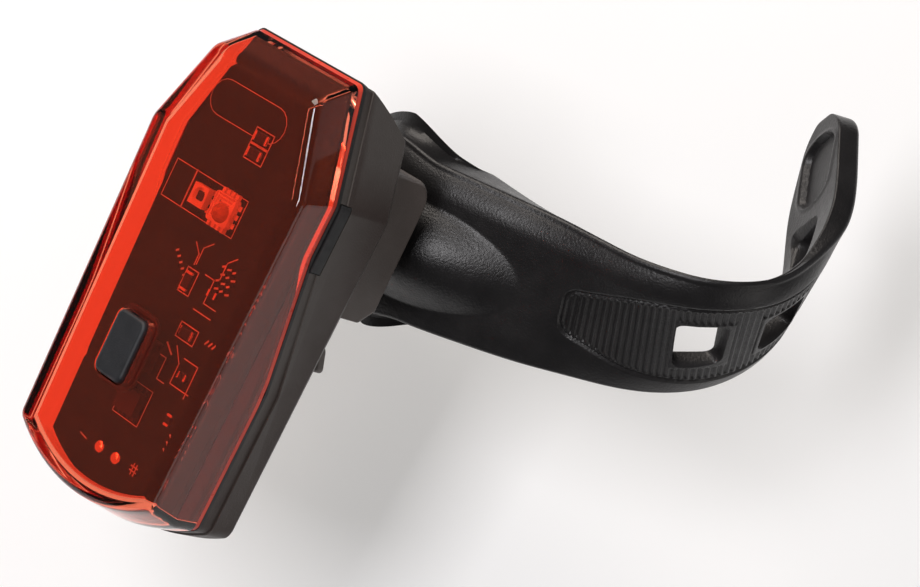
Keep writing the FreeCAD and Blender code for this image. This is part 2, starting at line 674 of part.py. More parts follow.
def make_bracket_block():
    """Block with a T-slot. The groove is closed at the foot, the slot in front of it is open."""
    front = LAMP_DEPTH + SEAM_GAP
    back = LAMP_DEPTH + BLOCK_DEPTH
    top = BLOCK_FOOT_Z + BLOCK_HEIGHT
    block = box(-BLOCK_HALF_WIDTH, BLOCK_HALF_WIDTH, front, back, BLOCK_FOOT_Z, top)
    block = block.makeFillet(BLOCK_TOP_ROUND, edges_at(block, back, top))
    block = block.makeChamfer(BLOCK_FOOT_CHAMFER, edges_at(block, back, BLOCK_FOOT_Z))
    flanks = [e for e in block.Edges if abs(e.valueAt(e.FirstParameter).y - front) > 0.01
              and abs(abs(e.CenterOfMass.x) - BLOCK_HALF_WIDTH) < 1e-6 and e.CenterOfMass.y > front + 0.01]
    block = block.makeChamfer(BLOCK_SIDE_CHAMFER, flanks)
    neck_half = RAIL_NECK_WIDTH / 2 + RAIL_CLEARANCE
    flange_half = RAIL_FLANGE_WIDTH / 2 + RAIL_CLEARANCE
    step = LAMP_DEPTH + RAIL_NECK_DEPTH - RAIL_CLEARANCE
    floor = BLOCK_FOOT_Z + BLOCK_FLOOR
    slot = box(-neck_half, neck_half, front - 1, step + ROOT, BLOCK_FOOT_Z - 1, top + 1)
    groove = box(-flange_half, flange_half, step, groove_floor(), floor, top + 1)
    block = block.cut(fuse_all([slot, groove]))
    return block.cut(screw_space(SCREW_RADIUS + SCREW_GAP, SCREW_HEAD_RADIUS + SCREW_GAP))


def groove_floor():
    """Depth of the flat face at the back of the bracket's groove."""
    return LAMP_DEPTH + RAIL_NECK_DEPTH + RAIL_FLANGE_DEPTH + RAIL_CLEARANCE


def screw_space(shank, head):
    """Countersunk form along the neck's axis, from the bracket's groove."""
    start = V(0, groove_floor(), LAMP_RISE)
    cone = Part.makeCone(head, shank, SCREW_HEAD_HEIGHT, start, V(0, 1, 0))
    rod = Part.makeCylinder(shank, SCREW_LENGTH, start, V(0, 1, 0))
    return fuse_all([cone, rod])


def make_neck_screw():
    head_y = groove_floor()
    cross = [box_at(0, LAMP_RISE, width, height, head_y - 1, head_y + SCREW_HEAD_HEIGHT / 2)
             for width, height in ((CROSS_LENGTH, CROSS_WIDTH), (CROSS_WIDTH, CROSS_LENGTH))]
    return screw_space(SCREW_RADIUS, SCREW_HEAD_RADIUS).cut(fuse_all(cross))


def latch_top():
    return BLOCK_FOOT_Z - LATCH_GAP


def catch_top():
    """Height of the face that the latch's nose stands under."""
    return latch_top() - LATCH_NOSE_HEIGHT - LATCH_GAP


def latch_front(z):
    """Depth of the lever's front face at a height: it flares away from the lamp."""
    return LAMP_DEPTH + LATCH_SETBACK + LATCH_FLARE * (latch_top() - z) / LATCH_DROP


def plate_across(points, half):
    """Flat outline in Y and Z, made half wide to each side."""
    corners = [V(-half, y, z) for y, z in points]
    return Part.Face(Part.makePolygon(corners + corners[:1])).extrude(V(2 * half, 0, 0))


def make_release_latch():
    """Spring lever below the bracket, with a finger pad and a nose towards the lamp."""
    top, tip = latch_top(), latch_top() - LATCH_DROP
    pad_top = tip + LATCH_PAD_HEIGHT

    def strip(z0, z1, half):
        return plate_across([(latch_front(z0), z0), (latch_front(z1), z1),
                             (latch_front(z1) + LATCH_THICKNESS, z1),
                             (latch_front(z0) + LATCH_THICKNESS, z0)], half)

    pad = strip(pad_top, tip, LATCH_PAD_HALF_WIDTH)
    pad_corners = [e for e in pad.Edges if abs(e.tangentAt(e.FirstParameter).y) > 0.8]
    pad = pad.makeFillet(LATCH_PAD_ROUND, pad_corners)
    nose_end = LAMP_DEPTH + CATCH_HEIGHT + LATCH_NOSE_GAP
    root = latch_front(top) + LATCH_THICKNESS / 2
    nose = plate_across([(root, top), (nose_end + LATCH_NOSE_HEIGHT, top),
                         (nose_end, top - LATCH_NOSE_HEIGHT / 2),
                         (nose_end, top - LATCH_NOSE_HEIGHT), (root, top - LATCH_NOSE_HEIGHT)],
                        LATCH_NOSE_WIDTH / 2)
    return fuse_all([strip(top, pad_top - ROOT, LATCH_HALF_WIDTH), pad, nose])


def catch_rib():
    """Low rib on the housing that stands in front of the latch's nose."""
    top = catch_top() + LATCH_NOSE_HEIGHT
    half = LATCH_NOSE_WIDTH / 2
    return box(-half, half, BACK_FOOT_DEPTH - HOUSING_WALL / 2, LAMP_DEPTH + CATCH_HEIGHT,
               top - CATCH_THICKNESS, top)


def neck_insert():
    """Stub from the bracket's back with a flange inside the rubber, before its bore is cut."""
    start = V(0, LAMP_DEPTH + BLOCK_DEPTH, LAMP_RISE)
    stub = place_lamp(Part.makeCylinder(NECK_RADIUS, NECK_LENGTH + SADDLE_WALL, start, V(0, 1, 0)))
    flange_y = -STRAP_FACE + FLANGE_COVER
    flange = Part.makeCylinder(FLANGE_RADIUS, FLANGE_THICKNESS, V(0, flange_y, 0), V(0, 1, 0))
    beyond = box(-FAR, FAR, flange_y + FLANGE_THICKNESS / 2, FAR, -FAR, FAR)
    return fuse_all([stub.cut(place_post(beyond)), place_post(flange)])


# Strap, drawn in the post's frame


def strap_frames(step=0.5):
    """Points and directions along the middle of the strap's outer face."""
    point, along = V(0, -STRAP_FACE, 0), V(1, 0, 0)
    across, outward = V(0, 0, 1), V(0, -1, 0)
    frames, station = [(0.0, point, along, across, outward)], 0.0
    for length, bend, twist in zip(STRAP_LENGTHS, STRAP_BENDS, STRAP_TWISTS):
        steps = round(length / step)
        turn, roll = math.radians(bend) / steps, math.radians(twist) / steps
        for _ in range(steps):
            middle = along * math.cos(turn / 2) - outward * math.sin(turn / 2)
            point = point + middle * (length / steps)
            along, outward = (along * math.cos(turn) - outward * math.sin(turn),
                              outward * math.cos(turn) + along * math.sin(turn))
            across, outward = (across * math.cos(roll) + outward * math.sin(roll),
                               outward * math.cos(roll) - across * math.sin(roll))
            station += length / steps
            frames.append((station, point, along, across, outward))
    return frames


FRAMES = strap_frames()
STRAP_END = sum(STRAP_LENGTHS)


def frame_at(station):
    """Frame at a station, between the two nearest worked-out ones."""
    index = max(i for i, frame in enumerate(FRAMES) if frame[0] <= station + 1e-9)
    if index == len(FRAMES) - 1:
        return FRAMES[index][1:]
    before, after = FRAMES[index], FRAMES[index + 1]
    t = (station - before[0]) / (after[0] - before[0])
    point, along, across = [mix(a, b, t) for a, b in zip(before[1:4], after[1:4])]
    along.normalize()
    across.normalize()
    return point, along, across, along.cross(across)


def eased(stations, values, station):
    """Smooth value at a station, through values given at rising stations."""
    if station <= stations[0]:
        return values[0]
    for i in range(len(stations) - 1):
        if station <= stations[i + 1] + 1e-9:
            t = (station - stations[i]) / (stations[i + 1] - stations[i])
            before = values[max(i - 1, 0)]
            after = values[min(i + 2, len(values) - 1)]
            rise_a = (values[i + 1] - before) / 2
            rise_b = (after - values[i]) / 2
            return ((2 * t ** 3 - 3 * t ** 2 + 1) * values[i] + (t ** 3 - 2 * t ** 2 + t) * rise_a
                    + (3 * t ** 2 - 2 * t ** 3) * values[i + 1] + (t ** 3 - t ** 2) * rise_b)
    return values[-1]


STRETCH_ENDS = [sum(STRAP_LENGTHS[:i]) for i in range(len(STRAP_LENGTHS) + 1)]


def half_width(station):
    """Half width of the outer face, which rises to a collar in the middle of the saddle."""
    u = min(station / COLLAR_REACH, 1.0)
    return eased(STRETCH_ENDS, STRAP_HALF_WIDTHS, station) + COLLAR_RISE * (1 - u * u) ** 2


def taper(station):
    """How much narrower each side is at the inner face. It is below zero at the collar."""
    return eased(STRETCH_ENDS, STRAP_TAPERS, station)


def thickness(station):
    return eased(STRETCH_ENDS, STRAP_THICKNESSES, station)


def swing(station):
    return eased(STRETCH_ENDS, STRAP_SWING, station)


def on_section(station, side, height):
    """Point at side across the strap and height above its outer face."""
    point, _, across, outward = frame_at(station)
    return point + across * (side + swing(station)) + outward * height


def strap_section(station):
    """Cross-section: chamfered edges, and sides that are drawn in to the inner face."""
    half, depth = half_width(station), thickness(station)
    low = half - taper(station)
    flank = [(half - STRAP_EDGE, 0), (half, -STRAP_EDGE),
             (low, STRAP_EDGE - depth), (low - STRAP_EDGE, -depth)]
    corners = flank + [(-side, height) for side, height in reversed(flank)]
    return [on_section(station, side, height) for side, height in corners]


def strap_loft(start, end, spacing=3.4):
    count = max(3, round((end - start) / spacing) + 1)
    stations = [mix(start, end, i / (count - 1)) for i in range(count)]
    return solid_through([strap_section(s) for s in stations])


def across_strap(station, length, half, high, low, shift=0.0, radius=0.0):
    """Block through the strap at a station, from height low to high, with rounded corners."""
    point, along, across, outward = frame_at(station)
    side = outward.cross(along)
    block = Part.makeBox(length, 2 * half, high - low, V(-length / 2, swing(station) + shift - half, low))
    if radius:
        upright = [e for e in block.Edges if abs(e.tangentAt(e.FirstParameter).z) > 0.99]
        block = block.makeFillet(radius, upright)
    matrix = FreeCAD.Matrix(along.x, side.x, outward.x, point.x, along.y, side.y, outward.y, point.y,
                            along.z, side.z, outward.z, point.z, 0, 0, 0, 1)
    return block.transformShape(matrix)


def strap_holes():
    depth = max(STRAP_THICKNESSES)
    return [across_strap(FIRST_HOLE + i * HOLE_PITCH, HOLE_LENGTH, HOLE_WIDTH / 2, depth, -depth, -HOLE_SHIFT,
                         HOLE_ROUND)
            for i in range(HOLE_COUNT)]


def panel_half_width(station):
    return eased(PANEL_STATIONS, PANEL_HALF_WIDTHS, station)


def rib_panel():
    """Shallow pocket in the outer face in which the grip ribs stand."""
    start, end = PANEL_STATIONS[0], PANEL_STATIONS[-1]
    rings = []
    for i in range(PANEL_SECTIONS):
        station = mix(start, end, i / (PANEL_SECTIONS - 1))
        half = panel_half_width(station)
        rings.append([on_section(station, side - PANEL_SHIFT, height) for side, height in
                      ((-half, -PANEL_DEPTH), (half, -PANEL_DEPTH), (half, STRAP_FACE), (-half, STRAP_FACE))])
    return solid_through(rings)


def rib_grooves():
    """Grooves across the panel, a rib's pitch apart."""
    start, end = PANEL_STATIONS[0] + RIB_PITCH, PANEL_STATIONS[-1] - RIB_PITCH / 2
    count = int((end - start) / RIB_PITCH) + 1
    stations = [start + i * RIB_PITCH for i in range(count)]
    bottom = -PANEL_DEPTH - RIB_HEIGHT
    return [across_strap(s, RIB_GROOVE, panel_half_width(s) - RIB_GROOVE, STRAP_EDGE, bottom, -PANEL_SHIFT)
            for s in stations]


def tip_mask():
    """Everything on the strap's side of its rounded end."""
    radius = half_width(STRAP_END)
    station = STRAP_END - radius
    point, along, _, outward = frame_at(station)
    disc = Part.makeCylinder(radius, 4 * radius, point - outward * (2 * radius), outward)
    body = across_strap(station - STRAP_END / 4, STRAP_END / 2, 3 * radius, 2 * radius, -2 * radius)
    return fuse_all([disc, body])


def make_strap_links():
    """The free strap, cut where it bends when it is closed."""
    ends = JOINT_STATIONS + (STRAP_END,)
    cutters = strap_holes() + rib_grooves()
    panel = rib_panel()
    links = []
    for start, end in zip(ends, ends[1:]):
        near = [c for c in cutters if start - HOLE_LENGTH < station_of(c) < end + HOLE_LENGTH]
        links.append(strap_loft(start, end).cut(panel).cut(Part.makeCompound(near)))
    pocket = across_strap(POCKET_START + POCKET_LENGTH / 2, POCKET_LENGTH, POCKET_HALF_WIDTH,
                          POCKET_DEPTH - thickness(STRAP_END), -2 * thickness(STRAP_END), 0,
                          POCKET_HALF_WIDTH / 2)
    links[-1] = links[-1].common(tip_mask()).cut(pocket)
    return links


def station_of(shape):
    """Station of the strap's frame nearest to a shape's middle."""
    middle = shape.BoundBox.Center
    return min(FRAMES, key=lambda f: (f[1] - middle).Length)[0]


def make_strap_base():
    """Saddle on the post, its two wings, the dome over the neck and the hook."""
    right = strap_loft(0.0, JOINT_STATIONS[0])
    left = strap_loft(0.0, LEFT_WING).mirror(V(0, 0, 0), V(1, 0, 0))
    saddle = fuse_all([right, left, neck_dome()])
    saddle = saddle.cut(Part.makeCylinder(POST_RADIUS, 2 * FAR, V(0, 0, -FAR)))
    return place_post(fuse_all([saddle, strap_hook()]))


def neck_dome():
    """Long low rise of the rubber over the neck, through half ovals that stand across the strap."""
    rings = []
    for i in range(DOME_SECTIONS):
        turn = math.pi * (i + 0.5) / DOME_SECTIONS
        station = DOME_OFFSET - DOME_HALF_LENGTH * math.cos(turn)
        point, _, across, outward = frame_at(abs(station))
        if station < 0:
            point, outward = V(-point.x, point.y, 0), V(-outward.x, outward.y, 0)
        base = point - outward * DOME_ROOT - across * DOME_SHIFT
        reach = across * (DOME_HALF_WIDTH * math.sin(turn))
        crest = outward * (DOME_ROOT + DOME_HEIGHT * math.sin(turn))
        angles = [math.pi * j / DOME_FACETS for j in range(DOME_FACETS + 1)]
        rings.append([base + reach * math.cos(angle) + crest * math.sin(angle) for angle in angles])
    return solid_through(rings)


def strap_hook():
    """Hook on the left wing: a shank that turns forwards round to a lip."""
    point, along, _, outward = frame_at(LEFT_WING)
    depth = thickness(LEFT_WING)
    middle = point - outward * (depth / 2)
    direction = V(-along.x, along.y, 0)
    lift = V(-outward.x, outward.y, 0)
    start = V(-middle.x, middle.y, 0) - direction * HOOK_ROOT
    bend = start + direction * (HOOK_REACH + HOOK_ROOT)
    crest = bend + direction * HOOK_RADIUS + lift * HOOK_RADIUS
    turn = bend + direction * (HOOK_RADIUS * math.sqrt(0.5)) + lift * (HOOK_RADIUS * (1 - math.sqrt(0.5)))
    lip = crest + lift * HOOK_LIP
    path = Part.Wire([Part.LineSegment(start, bend).toShape(), Part.Arc(bend, turn, crest).toShape(),
                      Part.LineSegment(crest, lip).toShape()])
    half_t, half_w = HOOK_THICKNESS / 2, HOOK_WIDTH / 2
    corners = [start + lift * a + V(0, 0, b) for a, b in
               ((half_t, half_w), (half_t, -half_w), (-half_t, -half_w), (-half_t, half_w))]
    section = Part.makePolygon(corners + corners[:1])
    return path.makePipeShell([section], True, False)


def build():
    neck = neck_insert()
    near, middle, tip = [place_post(link) for link in make_strap_links()]
    lamp_nodes = {
        "lens_cover": make_lens(),
        "lens_gasket": make_gasket(),
        "rear_housing": make_housing(),
        "circuit_board": make_board(),
        "main_led": make_main_led(),
        "auxiliary_led": make_aux_led(),
        "control_chip": make_control_chip(),
        "small_components": make_small_parts(),
        "solder_joints": make_solder_joints(),
        "tact_switch": make_tact_switch(),
        "switch_plunger": make_switch_plunger(),
        "power_button": make_power_button(),
        "usb_socket": make_usb_socket(),
        "usb_tongue": make_usb_tongue(),
        "usb_cover": make_usb_cover(),
        "battery_cell": make_battery(),
        "battery_pad": make_battery_pad(),
        "battery_leads": make_battery_leads(),
        "bracket_block": make_bracket_block(),
        "neck_screw": make_neck_screw(),
        "release_latch": make_release_latch(),
    }
    nodes = {name: place_lamp(shape) for name, shape in lamp_nodes.items()}
    nodes["mount_neck"] = neck.cut(place_lamp(screw_space(SCREW_RADIUS, SCREW_HEAD_RADIUS)))
    nodes["strap_base"] = make_strap_base().cut(neck)
    nodes["strap_near"] = near
    nodes["strap_middle"] = middle
    nodes["strap_tip"] = tip
    return nodes


os.makedirs("parts", exist_ok=True)
for name, shape in build().items():
    shape.exportStep("parts/" + name + ".step")
    print(name, "solids", len(shape.Solids), "volume", round(shape.Volume, 1), "valid", shape.isValid())
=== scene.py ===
import contextlib
import itertools
import math

import bmesh
import bpy
import numpy as np
from mathutils import Matrix, Vector


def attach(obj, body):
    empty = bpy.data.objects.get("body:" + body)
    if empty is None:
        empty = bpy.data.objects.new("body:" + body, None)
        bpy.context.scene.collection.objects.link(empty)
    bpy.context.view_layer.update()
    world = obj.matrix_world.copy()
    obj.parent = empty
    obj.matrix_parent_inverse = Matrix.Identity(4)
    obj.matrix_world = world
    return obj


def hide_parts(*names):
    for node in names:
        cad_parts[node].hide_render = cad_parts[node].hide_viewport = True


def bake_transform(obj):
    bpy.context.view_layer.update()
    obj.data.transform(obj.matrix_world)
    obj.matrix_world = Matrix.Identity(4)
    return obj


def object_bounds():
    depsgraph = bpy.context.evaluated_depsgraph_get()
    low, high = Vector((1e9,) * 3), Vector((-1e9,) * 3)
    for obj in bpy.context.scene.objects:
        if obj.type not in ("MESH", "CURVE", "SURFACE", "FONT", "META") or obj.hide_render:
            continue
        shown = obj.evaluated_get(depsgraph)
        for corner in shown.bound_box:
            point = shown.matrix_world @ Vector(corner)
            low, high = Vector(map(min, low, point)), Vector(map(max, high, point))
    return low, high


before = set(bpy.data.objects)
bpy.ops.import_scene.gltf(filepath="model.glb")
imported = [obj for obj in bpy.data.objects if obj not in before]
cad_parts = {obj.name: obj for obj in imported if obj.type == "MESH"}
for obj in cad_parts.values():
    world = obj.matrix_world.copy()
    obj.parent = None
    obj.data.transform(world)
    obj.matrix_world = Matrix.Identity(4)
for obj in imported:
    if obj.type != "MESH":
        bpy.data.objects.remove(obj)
cad_low, cad_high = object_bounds()
MM = 0.001
MIDDLE = (cad_low + cad_high) / 2

# Sizes in millimetres: the CAD source's, with roundings and fine details that only the render has
POST_RADIUS = 15.9
POST_TILT = math.radians(16.7)
SADDLE_WALL = 4.2
STRAP_LENGTHS = (14.0, 16.0, 14.0, 12.0, 12.0, 14.0, 15.0, 17.0)
STRAP_BENDS = (20.0, 2.0, 0.0, 20.0, 29.0, 42.0, 22.0, 0.0)
STRAP_TWISTS = (0.0, 0.0, 14.0, 13.0, 11.0, 7.0, 12.0, 4.0)
STRAP_HALF_WIDTHS = (14.1, 13.7, 12.9, 12.5, 12.9, 12.8, 10.8, 9.4, 9.0)
STRAP_SWING = (0.0, 0.0, 0.0, -0.3, -0.5, -0.7, -0.6, -0.4, 1.6)
STRAP_THICKNESSES = (7.4, 9.2, 5.6, 3.2, 3.0, 3.0, 3.4, 3.8, 3.8)
STRAP_TAPERS = (-3.6, 0.0, 1.1, 1.1, 1.1, 0.9, 0.4, 0.3, 0.3)
COLLAR_RISE = 1.2
COLLAR_REACH = 10.0
LEFT_WING = 17.0
TWIST_EASE = 5.0
FRAME_STEP = 0.5
SADDLE_END = 32.0
TIP_HALF = 5.4
EDGE_ROUND = 0.8
INNER_ROUND = 0.4
SHOULDER_WIDTH = 5.0
SHOULDER_DROP = 2.3
SHOULDER_END = (78.0, 92.0)
LOWER_SHARE = 0.3
HOLE_WIDTH = 9.4
HOLE_LENGTH = 8.4
HOLE_PITCH = 14.5
HOLE_SHIFT = 0.9
HOLE_ROUND = 1.5
HOLE_SLANTS = ((2.0, 0.5), (0.6, 0.2), (0.0, 0.0))
# Height above a face of the strap, and how much wider the hole is there
HOLE_FLARE_OUTSIDE = ((1.0, 1.15), (0.12, 0.42), (-0.2, 0.14), (-0.55, 0.0))
HOLE_FLARE_INSIDE = ((0.5, 0.0), (0.2, 0.12), (-0.1, 0.42), (-1.0, 1.2))
FIRST_HOLE = 60.6
HOLE_COUNT = 3
PANEL_STATIONS = (36.8, 51.0, 66.0, 82.0)
PANEL_HALF_WIDTHS = (3.8, 7.6, 9.2, 8.0)
PANEL_SHIFT = 0.8
PANEL_DEPTH = 0.45
RIB_PITCH = 1.15
RIB_HEIGHT = 0.35
RIB_SHARPNESS = 0.8
PANEL_CORNER = 2.2
PANEL_EASE = 0.3
PANEL_LIP = 0.1
PANEL_WALL = (0.15, 0.7)
RIB_ENDS = (0.5, 1.0)
HOLE_LAND = 0.6
POCKET_START = 98.5
POCKET_LENGTH = 11.5
POCKET_HALF_WIDTH = 5.4
POCKET_DEPTH = 1.0
POCKET_OVAL = 1.7
POCKET_DRAW = 0.4
POCKET_EDGE = (0.86, 1.0)
POCKET_RIM = 0.16
POCKET_RIM_RISE = (0.98, 1.06)
POCKET_RIM_FALL = (1.12, 1.24)
DOME_HEIGHT = 4.6
DOME_HALF_WIDTH = 9.0
DOME_HALF_LENGTH = 22.5
DOME_OFFSET = 7.0
DOME_SHIFT = 1.2
DOME_SOFTNESS = 1.25
HOOK_WIDTH = 7.6
HOOK_REACH = 4.5
HOOK_THICKNESS = 2.6
HOOK_RADIUS = 3.4
HOOK_ROOT = 1.5
HOOK_LIP = 0.3
HOOK_SQUARENESS = 0.45
HOOK_END_DRAW = 0.25
HOOK_TURNS = 10
HOOK_POINTS = 28
# Stations at which the strap's three pieces meet
PIECE_ENDS = (-LEFT_WING, 40.0, 56.0, sum(STRAP_LENGTHS))
# Points round the strap, and the steps between its rings
OUTER_COUNT = 120
INNER_COUNT = 48
CORNER_COUNT = 6
SIDE_COUNT = 5
RINGS_PER_RIB = 8
END_ZONE = 1.2
END_STEP = 0.1
POCKET_STEP = 0.3
PLAIN_STEP = 0.4
# What tells a flat cap between two strap pieces: its number of points and distance from the joint
CAP_POINTS = 60
CAP_REACH = 3.0

LAMP_FRONT_Y = -56.652
LAMP_Z = -22.776
RIM_Y = 8.2
FRONT = dict(top=12.6, top_z=34.0, bend=18.6, bend_z=19.4, foot=17.2, foot_z=-33.2)
RIM = dict(top=13.0, top_z=39.4, bend=18.7, bend_z=20.6, foot=17.4, foot_z=-35.4)
FOOT_SAG = 5.0
TOP_CORNER_ROUND = 1.8
BEND_ROUND = 3.5
FOOT_CORNER_ROUND = 2.0
LEAST_ROUND = 0.3
SEAM_UPPER_Y = 8.1
SEAM_LOWER_Y = 12.7
SEAM_SLOPE_TOP = 12.0
SEAM_SLOPE_FOOT = -11.0
LENS_WALL = 2.0
LENS_FRONT = 2.0
LENS_EDGE = 1.1
LENS_INNER_EDGE = 1.5
FLANGE = 1.0
FLANGE_GAP = 0.03
FLANGE_BACK = 0.02
FLANGE_INSET = 0.5
SEAM_STEP = 0.3
FLANGE_WIDTH = 1.3
BUTTON_X = -2.7
BUTTON_Z = -14.6
BUTTON_WIDTH = 7.0
BUTTON_HEIGHT = 10.8
BUTTON_ROUND = 1.4
BUTTON_GAP = 0.15
# Depth behind the lens's face, and how much wider the button's opening is there
BUTTON_OPENING = ((-1.0, 0.4), (0.0, 0.35), (0.12, 0.12), (0.35, 0.0), (4.0, 0.0))
BOARD_Y = 7.0
LED_X = -0.6
LED_Z = 11.3
AUX_LED_X = -6.2
SOLDER_X = (-3.4, 0.8)
SOLDER_Z = -31.6
# Small chips on the board: middle's x and z, width, height
SMALL_PARTS = (
    (0.0, 24.0, 3.2, 1.6),
    (0.0, 21.3, 3.2, 1.6),
    (-1.4, -1.4, 1.6, 3.2),
    (3.2, -8.5, 3.2, 1.6),
    (4.8, -1.0, 2.0, 1.2),
    (6.4, -14.5, 2.0, 1.2),
    (7.8, -21.5, 1.2, 2.0),
)
FRAMED_PARTS = 4
CHIP_BODY_RISE = 0.58
CHIP_END = 0.42
CHIP_LAP = 0.05
CHIP_END_RISE = 0.6
SOLDER_RADIUS = 1.1
SOLDER_RISE = 0.7
LED_SIZE = 5.0
LED_RISE = 1.2
LED_FACE = BOARD_Y - 1.15
LED_MARK_FRONT = BOARD_Y - 1.28
LED_ROWS = (-1.5, 0.0, 1.5)
LED_COLUMNS = (-1.6, -0.5, 0.6, 1.7)
LED_PAD_X = 2.9
LED_PAD = (1.3, 0.9)
LED_PAD_RISE = 0.55
LED_FIN = (0.7, 0.8)
LED_FINS = ((2.9, 0.7), (-2.9, 0.9))
# Metal marks on the LED's face, from its middle: x, z, width, height
LED_MARKS = (
    (-2.1, 0.2, 0.3, 4.2),
    (0.3, 2.2, 3.8, 0.26),
    (-1.45, 0.2, 0.3, 3.3),
    (0.3, 1.65, 3.1, 0.26),
    (-0.8, 0.2, 0.3, 2.4),
    (0.3, 1.1, 2.4, 0.26),
)
LED_DOME_RADIUS = 1.6
LED_DOME_SHIFT = 0.5
AUX_CHIP = 1.5
AUX_CHIP_DEPTHS = (BOARD_Y - 0.85, BOARD_Y - 0.58)

# Printed outlines on the board: lowest and highest x, lowest and highest z, and the line's width
STADIUM = (-14.4, 3.6, 23.6, 29.6)
STADIUM_WIDTH = 0.13
PRINT_FRAMES = (((-15.0, 3.0, 8.0, 14.4), 0.16), ((-4.4, 2.0, -25.5, -19.4), 0.15))
PART_FRAME_GAPS = (0.55, 0.45)
PRINT_BACK = 0.002
PRINT_RISE = 0.03
PRINT_WIDTH = 0.2
# Printed lines on the board: width, and points (x, z)
PRINT_LINES = (
    (0.3, ((-9.9, 8.0), (-9.9, 14.4))),
    (0.2, ((-1.4, 1.6), (-1.4, 4.4), (0.2, 5.8))),
    (0.2, ((4.6, 1.6), (4.6, 4.4), (6.2, 5.8))),
    (0.2, ((-3.4, 4.6), (-1.8, 3.2), (-1.8, 1.4))),
    (0.2, ((1.4, 1.0), (3.6, 1.0), (3.6, -3.0), (6.6, -3.0))),
    (0.2, ((2.2, -4.6), (6.4, -4.6))),
    (0.2, ((5.0, -12.0), (8.4, -12.0), (8.4, -17.4))),
    (0.2, ((2.4, -11.0), (4.4, -13.2), (4.4, -16.6), (9.0, -16.6))),
    (0.2, ((-0.4, -13.6), (1.4, -13.6), (1.4, -17.2), (3.2, -17.2))),
    (0.34, ((0.2, -11.4), (2.0, -12.6))),
    # Minus sign and hash
    (0.2, ((-8.6, -31.6), (-6.9, -31.9))),
    (0.2, ((4.5, -31.0), (6.1, -31.0))),
    (0.2, ((4.5, -31.7), (6.1, -31.7))),
    (0.2, ((5.0, -32.3), (5.0, -30.5))),
    (0.2, ((5.7, -32.3), (5.7, -30.5))),
)
# Rows of printed dashes: width, first dash's start, its reach, step to the next, number
PRINT_DASHES = (
    (0.34, (-6.6, 1.8), (0.3, 0.2), (0.9, -0.7), 5),
    (0.3, (7.6, -8.2), (0.4, 0.6), (0.9, 0.0), 3),
    (0.3, (9.2, -23.4), (0.5, -0.3), (0.0, -1.2), 3),
)
DOTS_START = (4.0, 3.6)
DOTS_PITCH = (1.3, -1.2)
DOTS_SHIFT = 0.4
DOTS_ROWS = 4
DOTS_COLUMNS = 3
DOT_REACH = (0.35, 0.2)
DOT_SPREAD = 0.2
DOT_WIDTH = 0.34

# Camera, fitted to the photograph
CAMERA_PLACE = Vector((0.322201, -0.386923, 0.049558))
CAMERA_RIGHT = Vector((0.6651215, 0.6081834, 0.4332740))
CAMERA_DOWN = Vector((0.4075048, 0.1905903, -0.8930931))
CAMERA_AHEAD = Vector((-0.6257422, 0.7705766, -0.1210719))
CAMERA_LENS = 117.39
CAMERA_SENSOR = 36.0
# Lamps: direction as the camera sees it (right, up, back), distance, size, watts, colour; metres
LIGHTS = {
    "key_front": ((-0.35, 0.22, 0.9), 0.8, (0.2, 0.42), 3.8, (1.0, 0.98, 1.0)),
    "key_top": ((-0.25, 0.95, 0.4), 0.65, (0.5, 0.35), 3.2, (1.0, 0.92, 0.85)),
    "side_right": ((0.95, 0.25, 0.3), 0.7, (0.3, 0.5), 0.15, (0.98, 0.97, 1.0)),
    "side_low": ((0.6, -0.65, 0.45), 0.45, (0.3, 0.3), 0.3, (1.0, 0.96, 0.93)),
}
# White paper behind the object, in metres: corners as the camera sees them, and gap to the object
PAPER_CORNERS = ((-0.6, -0.6), (0.6, -0.6), (0.6, 0.13), (-0.6, 0.13))
PAPER_GAP = 0.012
PAPER_COLOR = (0.82, 0.82, 0.82, 1)
PAPER_GLOW = 0.115
# Strength of the white world: as seen and through glass, as light, and in reflections
WORLD_SEEN = 1.0
WORLD_LIGHT = 0.3
WORLD_GLOSS = 0.07

